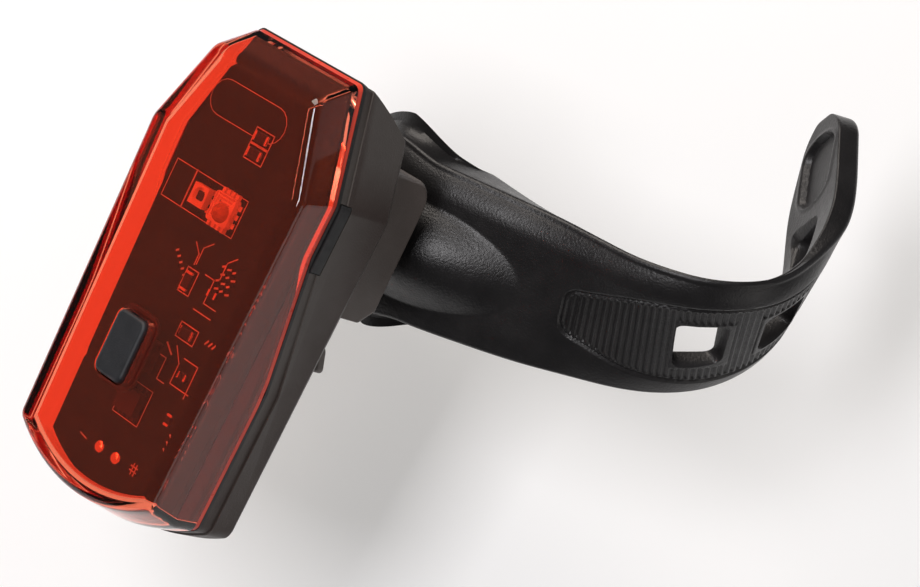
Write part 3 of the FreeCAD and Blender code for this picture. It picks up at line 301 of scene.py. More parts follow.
# Surfaces: dark and light tone, roughness range, patches and grains in bumps per metre, the grain's
# height in metres, a finer grain where there is one, and other shader values
FINISHES = {
    "lens_flange": (
        (0.5, 0.035, 0.018), (0.66, 0.06, 0.03), (0.25, 0.4), 200.0, 1500.0, 0.00001),
    "housing_plastic": (
        (0.034, 0.0235, 0.0205), (0.045, 0.0325, 0.0285), (0.44, 0.56), 120.0, 3200.0, 0.00005,
        (9000.0, 0.00001), {"Specular IOR Level": 0.3}),
    "bracket_plastic": (
        (0.07, 0.056, 0.05), (0.09, 0.073, 0.066), (0.42, 0.55), 140.0, 3000.0, 0.00003,
        (9000.0, 0.00001), {"Specular IOR Level": 0.4}),
    "strap_rubber": (
        (0.0085, 0.008, 0.0085), (0.014, 0.013, 0.0135), (0.28, 0.38), 160.0, 2400.0, 0.00006,
        (7000.0, 0.00002), {"IOR": 1.4}),
    "seal_rubber": (
        (0.006, 0.006, 0.006), (0.011, 0.011, 0.011), (0.5, 0.65), 300.0, 4000.0, 0.00002),
    "button_rubber": (
        (0.0045, 0.005, 0.0068), (0.012, 0.013, 0.0165), (0.42, 0.58), 260.0, 3800.0, 0.00003,
        (9000.0, 0.00001)),
    "cover_rubber": (
        (0.008, 0.008, 0.009), (0.014, 0.014, 0.015), (0.5, 0.62), 300.0, 4200.0, 0.00002),
    "board_laminate": (
        (0.012, 0.022, 0.009), (0.02, 0.034, 0.014), (0.5, 0.6), 420.0, 1400.0, 0.00001,
        (6000.0, 0.000006), {"Specular IOR Level": 0.08}),
    "board_print": (
        (0.56, 0.5, 0.44), (0.78, 0.74, 0.68), (0.55, 0.7), 900.0, 5000.0, 0.00001),
    "led_package": (
        (0.85, 0.8, 0.7), (0.95, 0.92, 0.85), (0.3, 0.45), 900.0, 5000.0, 0.00001),
    "chip_epoxy": (
        (0.014, 0.014, 0.014), (0.024, 0.024, 0.023), (0.45, 0.6), 700.0, 5200.0, 0.00002),
    "solder": (
        (0.8, 0.78, 0.74), (0.92, 0.9, 0.86), (0.08, 0.2), 900.0, 2600.0, 0.00005, None,
        {"Metallic": 1.0}),
    "steel": (
        (0.4, 0.4, 0.41), (0.55, 0.55, 0.56), (0.22, 0.36), 500.0, 3200.0, 0.00002, None,
        {"Metallic": 1.0}),
    "black_plastic": (
        (0.012, 0.012, 0.012), (0.02, 0.02, 0.02), (0.4, 0.5), 400.0, 3600.0, 0.00002),
    "cell_foil": (
        (0.42, 0.43, 0.45), (0.58, 0.59, 0.62), (0.25, 0.4), 200.0, 1500.0, 0.00006, None,
        {"Metallic": 0.8}),
    "foam": (
        (0.5, 0.5, 0.48), (0.68, 0.68, 0.66), (0.8, 0.95), 900.0, 3000.0, 0.00008),
    "lead_insulation": (
        (0.35, 0.012, 0.01), (0.45, 0.02, 0.015), (0.4, 0.5), 500.0, 3000.0, 0.00002),
}
LENS_COLOR = (0.96, 0.2, 0.11)
LENS_ROUGHNESS = (0.01, 0.04)
LENS_PATCH = 90.0
LENS_WAVE = 70.0
LENS_WAVE_HEIGHT = 0.00002
# The range that most of a noise's values fall in, and the noise's own roughness
NOISE_LOW, NOISE_HIGH = 0.3, 0.7
NOISE_ROUGHNESS = 0.55
PHOSPHOR_TONES = ((NOISE_LOW, (0.4, 0.25, 0.06)), (NOISE_HIGH, (0.6, 0.42, 0.12)))
PHOSPHOR_PATCH = 1400.0
# Tone of the painted highlight on sharply convex edges, and the pointiness at which it starts and
# is full
EDGE_HIGHLIGHTS = {"housing_plastic": (0.065, 0.056, 0.051), "bracket_plastic": (0.095, 0.082, 0.075)}
HIGHLIGHT_FROM, HIGHLIGHT_FULL = 0.52, 0.62
# Colour sockets of the Mix node, and its float sockets
MIX_A, MIX_B, MIX_COLOR = 6, 7, 2
MIX_FLOAT_A, MIX_FLOAT_B, MIX_FLOAT = 2, 3, 0

# Distance of points that are one, angle below which faces are joined, and angle of rounded edges
SAME_POINT = 0.002
FLAT_ANGLE = math.radians(0.6)
BEVEL_ANGLE = math.radians(28)
# CAD nodes that keep their shape: node, piece, finish, rounding of its edges, body, segments
SOFTENED = (
    ("rear_housing", "housing_shell", "housing_plastic", 0.35, "light_unit", 3),
    ("lens_gasket", "seal_strip", "seal_rubber", 0.08, "light_unit", 2),
    ("circuit_board", "board_plate", "board_laminate", 0.06, "light_unit", 2),
    ("auxiliary_led", "side_led", "led_package", 0.08, "light_unit", 2),
    ("control_chip", "controller", "chip_epoxy", 0.06, "light_unit", 2),
    ("tact_switch", "switch_body", "black_plastic", 0.08, "light_unit", 2),
    ("usb_socket", "socket_shell", "steel", 0.06, "light_unit", 2),
    ("usb_tongue", "socket_tongue", "black_plastic", 0.05, "light_unit", 2),
    ("battery_cell", "battery_pouch", "cell_foil", 0.3, "light_unit", 3),
    ("battery_pad", "battery_foam", "foam", 0.15, "light_unit", 2),
    ("battery_leads", "battery_wires", "lead_insulation", 0.15, "light_unit", 2),
    ("bracket_block", "bracket_body", "bracket_plastic", 0.5, "mount", 4),
    ("mount_neck", "bracket_neck", "bracket_plastic", 0.3, "mount", 3),
    ("neck_screw", "bracket_screw", "steel", 0.15, "mount", 2),
    ("release_latch", "latch_lever", "bracket_plastic", 0.35, "release_latch", 3),
    ("power_button", "button_cap", "button_rubber", 0.3, "power_button", 3),
    ("switch_plunger", "switch_pin", "black_plastic", 0.1, "power_button", 2),
    ("usb_cover", "socket_flap", "cover_rubber", 0.25, "usb_cover", 3),
)
# Slot names of the pieces whose finish has another name than their slot
OTHER_SLOTS = {"bracket_body": "housing_plastic", "bracket_neck": "black_plastic",
               "latch_lever": "black_plastic"}


def mix(a, b, t):
    return a + (b - a) * t


def smooth_step(a, b, x):
    t = np.clip((np.asarray(x, float) - a) / (b - a), 0, 1)
    return t * t * (3 - 2 * t)


# Materials


def set_inputs(tree, node, inputs):
    """Gives a shader node's inputs values, or links them to other nodes' outputs."""
    for key, value in inputs.items():
        if isinstance(value, bpy.types.NodeSocket):
            tree.links.new(value, node.inputs[key])
        else:
            node.inputs[key].default_value = value


def add_node(tree, kind, inputs=None, **settings):
    node = tree.nodes.new("ShaderNode" + kind)
    for key, value in settings.items():
        setattr(node, key, value)
    set_inputs(tree, node, inputs or {})
    return node


def principled(name, color, roughness, values):
    material = bpy.data.materials.new(name)
    material.use_nodes = True
    tree = material.node_tree
    node = tree.nodes["Principled BSDF"]
    set_inputs(tree, node, {"Base Color": (*color, 1), "Roughness": roughness, **values})
    return material, tree, node


def noise(tree, scale, detail=3.0):
    """Noise in the object's own metres; scale is in bumps per metre."""
    where = add_node(tree, "TexCoord").outputs["Object"]
    return add_node(tree, "TexNoise", {
        "Vector": where, "Scale": scale, "Detail": detail,
        "Roughness": NOISE_ROUGHNESS}).outputs["Fac"]


def ramp(tree, source, stops):
    node = add_node(tree, "ValToRGB", {"Fac": source})
    elements = node.color_ramp.elements
    while len(elements) < len(stops):
        elements.new(0.5)
    for element, (position, color) in zip(elements, stops):
        element.position = position
        element.color = (*color, 1)
    return node.outputs["Color"]


def spread(tree, source, low, high, start=NOISE_LOW, end=NOISE_HIGH):
    """Stretches a value that runs from start to end, so that it runs from low to high."""
    return add_node(tree, "MapRange", {
        "Value": source, "From Min": start, "From Max": end, "To Min": low,
        "To Max": high}).outputs["Result"]


def bump(tree, source, distance, before=None):
    inputs = {"Height": source, "Distance": distance}
    if before:
        inputs["Normal"] = before
    return add_node(tree, "Bump", inputs).outputs["Normal"]


def textured(name, dark, light, roughness, patch, grain, depth, fine=None, values=None):
    """Two-tone surface: colour and roughness vary in patches, and a grain raises it."""
    material, tree, node = principled(name, light, sum(roughness) / 2, values or {})
    normal = bump(tree, noise(tree, grain, 2.0), depth)
    if fine:
        normal = bump(tree, noise(tree, fine[0], 2.0), fine[1], normal)
    tones = ((NOISE_LOW, dark), (NOISE_HIGH, light))
    set_inputs(tree, node, {
        "Base Color": ramp(tree, noise(tree, patch, 4.0), tones),
        "Roughness": spread(tree, noise(tree, patch * 3, 5.0), *roughness),
        "Normal": normal})
    return material


def paint_edge_highlights(material, color):
    """Paints a highlight onto the outer edges, where the mesh is sharply convex."""
    tree = material.node_tree
    node = tree.nodes["Principled BSDF"]
    edge = add_node(tree, "NewGeometry").outputs["Pointiness"]
    highlighted = add_node(tree, "Mix", {
        "Factor": spread(tree, edge, 0.0, 1.0, HIGHLIGHT_FROM, HIGHLIGHT_FULL),
        MIX_A: node.inputs["Base Color"].links[0].from_socket, MIX_B: (*color, 1)},
        data_type="RGBA")
    set_inputs(tree, node, {"Base Color": highlighted.outputs[MIX_COLOR]})


def make_materials():
    lens, tree, node = principled("red_lens", LENS_COLOR, 0.03, {
        "Transmission Weight": 1.0, "IOR": 1.5, "Specular IOR Level": 0.3})
    set_inputs(tree, node, {
        "Roughness": spread(tree, noise(tree, LENS_PATCH), *LENS_ROUGHNESS),
        "Normal": bump(tree, noise(tree, LENS_WAVE, 1.0), LENS_WAVE_HEIGHT)})
    phosphor, tree, node = principled(
        "led_phosphor", PHOSPHOR_TONES[1][1], 0.18, {"Coat Weight": 0.5})
    set_inputs(tree, node, {"Base Color": ramp(tree, noise(tree, PHOSPHOR_PATCH), PHOSPHOR_TONES)})
    made = {name: textured(name, *finish) for name, finish in FINISHES.items()}
    # Painted highlights: lighter tones on the convex edges of the housing and bracket plastics
    for name, color in EDGE_HIGHLIGHTS.items():
        paint_edge_highlights(made[name], color)
    return {"red_lens": lens, "led_phosphor": phosphor, **made}


MATERIALS = make_materials()


# Mesh helpers


def add_object(name, data):
    thing = bpy.data.objects.new(name, data)
    bpy.context.scene.collection.objects.link(thing)
    return thing


def mesh_object(name, points, faces, material):
    mesh = bpy.data.meshes.new(name)
    mesh.from_pydata([tuple(MM * c for c in p) for p in points], [], faces)
    mesh.update()
    mesh.materials.append(MATERIALS[material])
    return add_object(name, mesh)


def lamp(x, y, z):
    """Point of the lamp's frame in the model's frame, in millimetres."""
    return (x, y + LAMP_FRONT_Y, z + LAMP_Z)


@contextlib.contextmanager
def edited(mesh, source=None):
    """BMesh of a mesh, or of its source, that is written to the mesh at the end."""
    made = bmesh.new()
    made.from_mesh(source or mesh)
    yield made
    made.to_mesh(mesh)
    made.free()


def outward_faces(piece, close=False):
    """Turns all faces outwards, and closes the piece's open end before it is cut."""
    with edited(piece.data) as made:
        edges = [e for e in made.edges if e.is_boundary] if close else []
        if edges:
            bmesh.ops.holes_fill(made, edges=edges, sides=0)
        bmesh.ops.recalc_face_normals(made, faces=made.faces)


def grid_faces(rings, count, first_cap, last_cap):
    faces = []
    for r in range(rings - 1):
        for i in range(count):
            j = (i + 1) % count
            faces.append((r * count + i, r * count + j, (r + 1) * count + j, (r + 1) * count + i))
    if first_cap:
        faces.append(tuple(range(count))[::-1])
    if last_cap:
        faces.append(tuple((rings - 1) * count + i for i in range(count)))
    return faces


def ring_object(name, rings, material, first_cap=True, last_cap=True):
    """Closed surface through rings of points."""
    faces = grid_faces(len(rings), len(rings[0]), first_cap, last_cap)
    piece = mesh_object(name, [p for ring in rings for p in ring], faces, material)
    outward_faces(piece)
    return piece


def rounded_ring(core_x, core_y, radius, steps=6):
    """Points round a rectangle whose corners' arcs have their centres at core_x and core_y."""
    return [(u * core_x + radius * math.cos(a), v * core_y + radius * math.sin(a))
            for corner, (u, v) in enumerate(((1, 1), (-1, 1), (-1, -1), (1, -1)))
            for a in (math.pi / 2 * (corner + k / steps) for k in range(steps + 1))]


def modified(piece, kind, **settings):
    """Bakes a modifier into the piece's mesh."""
    modifier = piece.modifiers.new(kind, kind)
    for key, value in settings.items():
        setattr(modifier, key, value)
    graph = bpy.context.evaluated_depsgraph_get()
    baked = bpy.data.meshes.new_from_object(piece.evaluated_get(graph))
    piece.modifiers.clear()
    piece.data = baked


def shade(piece, angle=35.0, weigh=True):
    """Smooth shading in which the large flat faces stay flat."""
    piece.data.shade_smooth()
    piece.data.set_sharp_from_angle(angle=math.radians(angle))
    if weigh:
        modified(piece, "WEIGHTED_NORMAL", mode="FACE_AREA", keep_sharp=True)


def cut_away(piece, cutter):
    modified(piece, "BOOLEAN", object=cutter, operation="DIFFERENCE", solver="EXACT")
    bpy.data.objects.remove(cutter)


def softened(node, name, material, width, body, segments):
    """Stands for a CAD node, with its edges rounded as moulded ones are."""
    mesh = bpy.data.meshes.new(name)
    with edited(mesh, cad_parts[node].data) as made:
        bmesh.ops.remove_doubles(made, verts=made.verts, dist=SAME_POINT * MM)
        bmesh.ops.dissolve_limit(made, angle_limit=FLAT_ANGLE, verts=made.verts, edges=made.edges)
    piece = add_object(name, mesh)
    mesh.materials.append(MATERIALS[material])
    for polygon in mesh.polygons:
        polygon.material_index = 0
    modified(piece, "BEVEL", width=width * MM, segments=segments, limit_method="ANGLE",
             angle_limit=BEVEL_ANGLE, use_clamp_overlap=True)
    shade(piece)
    finish_piece(piece, body, OTHER_SLOTS.get(name, material), node)


def finish_piece(piece, body, slot, *nodes):
    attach(piece, body)
    if nodes:
        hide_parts(*nodes)


# Strap


def strap_frames():
    """Points and directions along the middle of the strap's outer face, in the post's frame."""
    point, along = Vector((0, -POST_RADIUS - SADDLE_WALL, 0)), Vector((1, 0, 0))
    across, outward = Vector((0, 0, 1)), Vector((0, -1, 0))
    frames, station, rolls = [(0.0, point, along, across, outward)], 0.0, []
    for length, twist in zip(STRAP_LENGTHS, STRAP_TWISTS):
        steps = round(length / FRAME_STEP)
        rolls += [math.radians(twist) / steps] * steps
    ease = round(TWIST_EASE / FRAME_STEP)
    window = 2 * ease + 1
    rolls = np.convolve(np.pad(rolls, ease, "edge"), np.ones(window) / window, "valid")
    for length, bend in zip(STRAP_LENGTHS, STRAP_BENDS):
        steps = round(length / FRAME_STEP)
        turn = math.radians(bend) / steps
        for _ in range(steps):
            roll = float(rolls[len(frames) - 1])
            middle = along * math.cos(turn / 2) - outward * math.sin(turn / 2)
            point = point + middle * (length / steps)
            along, outward = (along * math.cos(turn) - outward * math.sin(turn),
                              outward * math.cos(turn) + along * math.sin(turn))
            across, outward = (across * math.cos(roll) + outward * math.sin(roll),
                               outward * math.cos(roll) - across * math.sin(roll))
            station += length / steps
            frames.append((station, point, along, across, outward))
    return frames


FRAMES = strap_frames()
STRAP_END = sum(STRAP_LENGTHS)
STRETCH_ENDS = [sum(STRAP_LENGTHS[:i]) for i in range(len(STRAP_LENGTHS) + 1)]


def frame_at(station):
    """Frame at a station, eased between the worked-out ones, and mirrored on the left wing."""
    place = min(abs(station), STRAP_END) / FRAME_STEP
    index = min(int(place), len(FRAMES) - 2)
    t = place - index
    before, after = FRAMES[index], FRAMES[index + 1]
    point, along, across, outward = [a.lerp(b, t) for a, b in zip(before[1:], after[1:])]
    along, across, outward = along.normalized(), across.normalized(), outward.normalized()
    if station < 0:
        point = Vector((-point.x, point.y, point.z))
        outward = Vector((-outward.x, outward.y, outward.z))
        along = Vector((along.x, -along.y, -along.z))
    return point, along, across, outward


def eased(stations, values, station):
    """Smooth value at a station, through values given at rising stations."""
    if station <= stations[0]:
        return values[0]
    for i in range(len(stations) - 1):
        if station <= stations[i + 1] + 1e-9:
            t = (station - stations[i]) / (stations[i + 1] - stations[i])
            before, after = values[max(i - 1, 0)], values[min(i + 2, len(values) - 1)]
            rise_a, rise_b = (values[i + 1] - before) / 2, (after - values[i]) / 2
            return ((2 * t ** 3 - 3 * t ** 2 + 1) * values[i] + (t ** 3 - 2 * t ** 2 + t) * rise_a
                    + (3 * t ** 2 - 2 * t ** 3) * values[i + 1] + (t ** 3 - t ** 2) * rise_b)
    return values[-1]


def half_width(station):
    s = abs(station)
    u = min(s / COLLAR_REACH, 1.0)
    half = eased(STRETCH_ENDS, STRAP_HALF_WIDTHS[:-1] + (TIP_HALF,), s)
    half += COLLAR_RISE * (1 - u * u) ** 2
    tip = STRAP_END - TIP_HALF
    if station > tip:
        half *= math.sqrt(max(1 - ((station - tip) / TIP_HALF) ** 2, 0.0))
    return half


def end_inset(station):
    """How far the section draws in at the strap's rounded ends."""
    distance = min(station + LEFT_WING, STRAP_END - station)
    if distance >= EDGE_ROUND:
        return 0.0
    return EDGE_ROUND - math.sqrt(EDGE_ROUND ** 2 - (EDGE_ROUND - distance) ** 2)


def to_model(point):
    """Turns a point from the post's frame to the leaning post."""
    x, y, z = point
    c, s = math.cos(POST_TILT), math.sin(POST_TILT)
    return (x, y * c - z * s, y * s + z * c)


def dome_rise(station, sides):
    """Height of the dome over the neck above the strap's face."""
    along = (station - DOME_OFFSET) / DOME_HALF_LENGTH
    inside = np.clip(1 - along ** 2 - ((sides + DOME_SHIFT) / DOME_HALF_WIDTH) ** 2, 0, 1)
    return DOME_HEIGHT * inside ** DOME_SOFTNESS


def rib_depth(station, sides):
    """Depth of the rib panel and of the grooves between its ribs."""
    start, end = PANEL_STATIONS[0], PANEL_STATIONS[-1]
    if station <= start - PANEL_EASE or station >= end + PANEL_EASE:
        return np.zeros_like(sides)
    across = eased(PANEL_STATIONS, PANEL_HALF_WIDTHS, station) - np.abs(sides + PANEL_SHIFT)
    ahead = min(station - start, end - station)
    corner = PANEL_CORNER - np.hypot(PANEL_CORNER - across, PANEL_CORNER - ahead)
    in_corner = (across < PANEL_CORNER) & (ahead < PANEL_CORNER)
    inside = np.where(in_corner, corner, np.minimum(across, ahead))
    land = np.full_like(sides, np.inf)
    for index in range(HOLE_COUNT):
        along_hole = abs(station - FIRST_HOLE - index * HOLE_PITCH) - HOLE_LENGTH / 2
        land = np.minimum(land, np.maximum(along_hole, np.abs(sides + HOLE_SHIFT) - HOLE_WIDTH / 2))
    ribbed = smooth_step(*RIB_ENDS, inside) * smooth_step(HOLE_LAND, HOLE_LAND + PANEL_EASE, land)
    wave = 0.5 + 0.5 * math.cos(2 * math.pi * (station - start) / RIB_PITCH)
    raised = PANEL_DEPTH - PANEL_LIP - RIB_HEIGHT * ribbed * wave ** RIB_SHARPNESS
    panel = smooth_step(-PANEL_EASE, PANEL_EASE, inside) * PANEL_DEPTH
    return panel - smooth_step(*PANEL_WALL, inside) * raised


def pocket_depth(station, sides):
    """Oval pocket in the inner face near the tip, with a low raised rim."""
    middle = POCKET_START + POCKET_LENGTH / 2
    straight = POCKET_LENGTH / 2 - POCKET_HALF_WIDTH / 2
    run = np.maximum(abs(station - middle) - straight, 0)
    radius = np.hypot(run * POCKET_OVAL, sides) / (POCKET_HALF_WIDTH - POCKET_DRAW)
    inner = 1 - smooth_step(*POCKET_EDGE, radius)
    rim = smooth_step(*POCKET_RIM_RISE, radius) * (1 - smooth_step(*POCKET_RIM_FALL, radius))
    return POCKET_DEPTH * inner - POCKET_RIM * rim


def edge_points(half, low, radius, inner, depth, inset, fall):
    """Points down one edge of the strap, from the outer face's rounding to the inner face's."""
    points = []
    for i in range(1, CORNER_COUNT):
        a = math.pi / 2 * i / CORNER_COUNT
        height = -radius + radius * math.cos(a) - inset - fall
        points.append((half - radius + radius * math.sin(a), height))
    for i in range(SIDE_COUNT):
        t = i / (SIDE_COUNT - 1)
        height = mix(-radius - inset - fall, inner - depth + inset, t)
        points.append((mix(half, low, t), height))
    for i in range(1, CORNER_COUNT):
        a = math.pi / 2 * i / CORNER_COUNT
        height = inner - inner * math.sin(a) - depth + inset
        points.append((low - inner + inner * math.cos(a), height))
    return points


def strap_ring(station):
    """Points round the strap at a station, in the post's frame."""
    point, _, across, outward = frame_at(station)
    inset = end_inset(station)
    half = max(half_width(station) - inset, 0.02)
    depth, taper, swing = [eased(STRETCH_ENDS, values, abs(station))
                           for values in (STRAP_THICKNESSES, STRAP_TAPERS, STRAP_SWING)]
    low = half - taper * min(half / 4, 1.0)
    radius, inner = min(EDGE_ROUND, half * 0.9), min(INNER_ROUND, half * 0.9)
    sides = np.linspace(-half + radius, half - radius, OUTER_COUNT)
    shoulder = np.clip((np.abs(sides) - (half - SHOULDER_WIDTH)) / SHOULDER_WIDTH, 0, 1)
    drop = SHOULDER_DROP * (1 - float(smooth_step(*SHOULDER_END, station)))
    heights = dome_rise(station, sides) - rib_depth(station, sides) - inset
    heights -= np.where(sides > 0, drop, drop * LOWER_SHARE) * shoulder ** 2
    fall = drop * ((SHOULDER_WIDTH - radius) / SHOULDER_WIDTH) ** 2
    upper, lower = [edge_points(half, low, radius, inner, depth, inset, f)
                    for f in (fall, fall * LOWER_SHARE)]
    loop = list(zip(sides, heights)) + upper
    sides = np.linspace(low - inner, inner - low, INNER_COUNT)
    loop += list(zip(sides, pocket_depth(station, sides) - depth + inset))
    loop += [(-x, y) for x, y in reversed(lower)]
    points = []
    for side, height in loop:
        p = point + across * (side + swing) + outward * height
        reach = math.hypot(p.x, p.y)
        if abs(station) < SADDLE_END and reach < POST_RADIUS:
            p = Vector((p.x * POST_RADIUS / reach, p.y * POST_RADIUS / reach, p.z))
        points.append(to_model(p))
    return points


def strap_stations(start, end):
    """Stations of the rings, closer where ribs, pocket and rounded ends need them."""
    stations, s = [start], start
    while s < end - 1e-6:
        if PANEL_STATIONS[0] - 0.5 < s < PANEL_STATIONS[-1] + 0.5:
            step = RIB_PITCH / RINGS_PER_RIB
        elif min(s + LEFT_WING, STRAP_END - s) < END_ZONE:
            step = END_STEP
        elif s > POCKET_START - 2:
            step = POCKET_STEP
        else:
            step = PLAIN_STEP
        s = min(s + step, end)
        if end - s < step * 0.4:
            s = end
        stations.append(s)
    return stations


def hole_cutter(station, slant):
    """Square hole with rounded corners that flares at both faces and leans as it goes in."""
    point, along, across, outward = frame_at(station)
    depth = eased(STRETCH_ENDS, STRAP_THICKNESSES, station)
    swing = eased(STRETCH_ENDS, STRAP_SWING, station)
    inside = [(height - depth, grow) for height, grow in HOLE_FLARE_INSIDE]
    rings = []
    for height, grow in [*HOLE_FLARE_OUTSIDE, *inside]:
        radius = HOLE_ROUND + grow * 0.5
        lean = min(max(-height / depth, 0), 1)
        ring = rounded_ring(HOLE_LENGTH / 2 + grow - radius, HOLE_WIDTH / 2 + grow - radius, radius)
        rings.append([to_model(point + along * (x - slant[0] * lean) + outward * height
                               + across * (y + swing - HOLE_SHIFT + slant[1] * lean))
                      for x, y in ring])
    return ring_object("cutter", rings, "strap_rubber")


def make_strap():
    names = ("strap_saddle", "strap_ribbed", "strap_end")
    stood_for = (("strap_base", "strap_near"), ("strap_middle",), ("strap_tip",))
    pieces = []
    for index, name in enumerate(names):
        stations = strap_stations(PIECE_ENDS[index], PIECE_ENDS[index + 1])
        rings = [strap_ring(s) for s in stations]
        pieces.append(ring_object(name, rings, "strap_rubber", index == 0, index == 2))
    for index in range(HOLE_COUNT):
        outward_faces(pieces[2], close=True)
        cut_away(pieces[2], hole_cutter(FIRST_HOLE + index * HOLE_PITCH, HOLE_SLANTS[index]))
    for piece in pieces:
        drop_end_caps(piece)
        shade(piece, 40.0, weigh=False)
    match_seam_normals(pieces[0], pieces[1])
    match_seam_normals(pieces[1], pieces[2])
    for index, piece in enumerate(pieces):
        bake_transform(piece)
        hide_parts(*stood_for[index])


def middle_of(station):
    point, _, _, outward = frame_at(station)
    return point - outward * (eased(STRETCH_ENDS, STRAP_THICKNESSES, station) / 2)


def drop_end_caps(piece):
    """Takes away the flat caps where two of the strap's pieces meet."""
    ends = [Vector(to_model(middle_of(s))) for s in PIECE_ENDS[1:3]]
    with edited(piece.data) as made:
        caps = [face for face in made.faces if len(face.verts) > CAP_POINTS
                and min((face.calc_center_median() / MM - end).length for end in ends) < CAP_REACH]
        bmesh.ops.delete(made, geom=caps, context="FACES_ONLY")


def border_points(mesh):
    """Points on the mesh's open edges."""
    uses = {}
    for polygon in mesh.polygons:
        for edge in polygon.edge_keys:
            uses[edge] = uses.get(edge, 0) + 1
    return {point for edge, number in uses.items() if number == 1 for point in edge}


def match_seam_normals(first, second):
    """Gives points that two pieces share one normal, so that no line shows there."""
    def key(co):
        return tuple(round(c * 1e6) for c in co)

    totals = {}
    for piece in (first, second):
        mesh = piece.data
        borders = border_points(mesh)
        for polygon in mesh.polygons:
            for v in polygon.vertices:
                if v in borders:
                    k = key(mesh.vertices[v].co)
                    totals[k] = totals.get(k, Vector()) + polygon.normal * polygon.area
    for piece in (first, second):
        mesh = piece.data
        normals = [Vector(n.vector) for n in mesh.corner_normals]
        for corner in mesh.loops:
            k = key(mesh.vertices[corner.vertex_index].co)
            if k in totals:
                normals[corner.index] = totals[k].normalized()
        mesh.normals_split_custom_set([tuple(n) for n in normals])


def make_hook():
    """Hook on the left wing: a shank that turns forwards round to a lip."""
    point, along, _, outward = frame_at(-LEFT_WING)
    depth = eased(STRETCH_ENDS, STRAP_THICKNESSES, LEFT_WING)
    start, direction = point - outward * (depth / 2), -along
    path = [start + direction * mix(-HOOK_ROOT, HOOK_REACH, t) for t in (0, 0.35, 0.7, 1.0)]
    bend = path[-1]
    for i in range(1, HOOK_TURNS + 1):
        a = math.pi / 2 * i / HOOK_TURNS
        path.append(bend + direction * (HOOK_RADIUS * math.sin(a))
                    + outward * (HOOK_RADIUS * (1 - math.cos(a))))
    for _ in range(2):
        path.append(path[-1] + outward * HOOK_RADIUS * HOOK_LIP)
    up = Vector((0, 0, 1))
    rings = []
    for i, p in enumerate(path):
        ahead = (path[min(i + 1, len(path) - 1)] - path[max(i - 1, 0)]).normalized()
        side = up.cross(ahead).normalized()
        draw = HOOK_END_DRAW if i == len(path) - 1 else 0.0
        ring = []
        for k in range(HOOK_POINTS):
            a = 2 * math.pi * k / HOOK_POINTS
            x, z = [math.copysign(abs(c) ** HOOK_SQUARENESS, c) * (size / 2 - draw)
                    for c, size in ((math.cos(a), HOOK_THICKNESS), (math.sin(a), HOOK_WIDTH))]
            ring.append(to_model(p + side * x + up * z))
        rings.append(ring)
    piece = ring_object("strap_hook", rings, "strap_rubber")
    shade(piece, 50.0)
    finish_piece(piece, "mount", "strap_rubber")


# Lens


def outline_points(sizes, inset, flank_points=14, arc_points=7, foot_points=30):
    """Points of the lamp's outline: arched foot, flanks, slanted shoulders and top."""
    foot, foot_z = sizes["foot"], sizes["foot_z"]
    radius = (foot * foot + FOOT_SAG * FOOT_SAG) / (2 * FOOT_SAG)
    centre = Vector((0, foot_z - FOOT_SAG + radius))
    a, b, c = (Vector((sizes[k], sizes[k + "_z"])) for k in ("foot", "bend", "top"))

    def inward(p, q):
        run = (q - p).normalized()
        return Vector((-run.y, run.x))

    def arc(middle, start, end, small, number):
        t0, t1 = math.atan2(start.y, start.x), math.atan2(end.y, end.x)
        while t1 < t0:
            t1 += 2 * math.pi
        return [middle + Vector((math.cos(t), math.sin(t))) * small
                for t in np.linspace(t0, t1, number)]

    flank, shoulder, top = inward(a, b), inward(b, c), Vector((0, -1))
    foot_small = max(FOOT_CORNER_ROUND - inset, LEAST_ROUND)
    start = a + flank * (inset + foot_small)
    offset = start - centre
    direction = (b - a).normalized()
    along = offset.dot(direction)
    reach = math.sqrt(along ** 2 - offset.dot(offset) + (radius - inset - foot_small) ** 2)
    middle = start - direction * (along + reach)
    out = (middle - centre).normalized()
    half = arc(middle, out, -flank, foot_small, arc_points)
    for corner, na, nb, size in ((b, flank, shoulder, BEND_ROUND),
                                 (c, shoulder, top, TOP_CORNER_ROUND)):
        small = max(size - inset, LEAST_ROUND)
        centre_c = corner + (na + nb) * ((inset + small) / (1 + na.dot(nb)))
        turn = arc(centre_c, -na, -nb, small, arc_points)
        run = np.linspace(0, 1, flank_points)[1:-1]
        half += [half[-1].lerp(turn[0], t) for t in run] + turn
    other = [Vector((-p.x, p.y)) for p in reversed(half)]
    top_run = [half[-1].lerp(other[0], t) for t in np.linspace(0, 1, 12)[1:-1]]
    t0 = math.atan2(other[-1].y - centre.y, other[-1].x - centre.x)
    t1 = math.atan2(half[0].y - centre.y, half[0].x - centre.x)
    if t0 > 0:
        t0 -= 2 * math.pi
    foot_run = [centre + Vector((math.cos(t), math.sin(t))) * (radius - inset)
                for t in np.linspace(t0, t1, foot_points)[1:-1]]
    return half + top_run + other + foot_run


def seam_y(z):
    t = min(max((SEAM_SLOPE_TOP - z) / (SEAM_SLOPE_TOP - SEAM_SLOPE_FOOT), 0.0), 1.0)
    return mix(SEAM_UPPER_Y, SEAM_LOWER_Y, t)


def lens_point(near, far, depth):
    """Point of the side wall at a depth, between the front outline's point and the rim's."""
    p = near.lerp(far, min(max(depth / RIM_Y, 0.0), 1.0))
    return lamp(p.x, depth, p.y)


def lens_rings(inset, rim_inset, front, edge, turns=6, walls=12):
    """Rings from the front face round its edge and down the side wall to the stepped seam."""
    rings = []
    for i in range(turns + 1):
        a = math.pi / 2 * i / turns
        draw, depth = edge * (1 - math.sin(a)), front + edge * (1 - math.cos(a))
        near, far = outline_points(FRONT, inset + draw), outline_points(RIM, rim_inset + draw)
        rings.append([lens_point(n, f, depth) for n, f in zip(near, far)])
    for i in range(1, walls + 1):
        rings.append([lens_point(n, f, mix(front + edge, seam_y(f.y) - FLANGE, i / walls))
                      for n, f in zip(near, far)])
    return rings


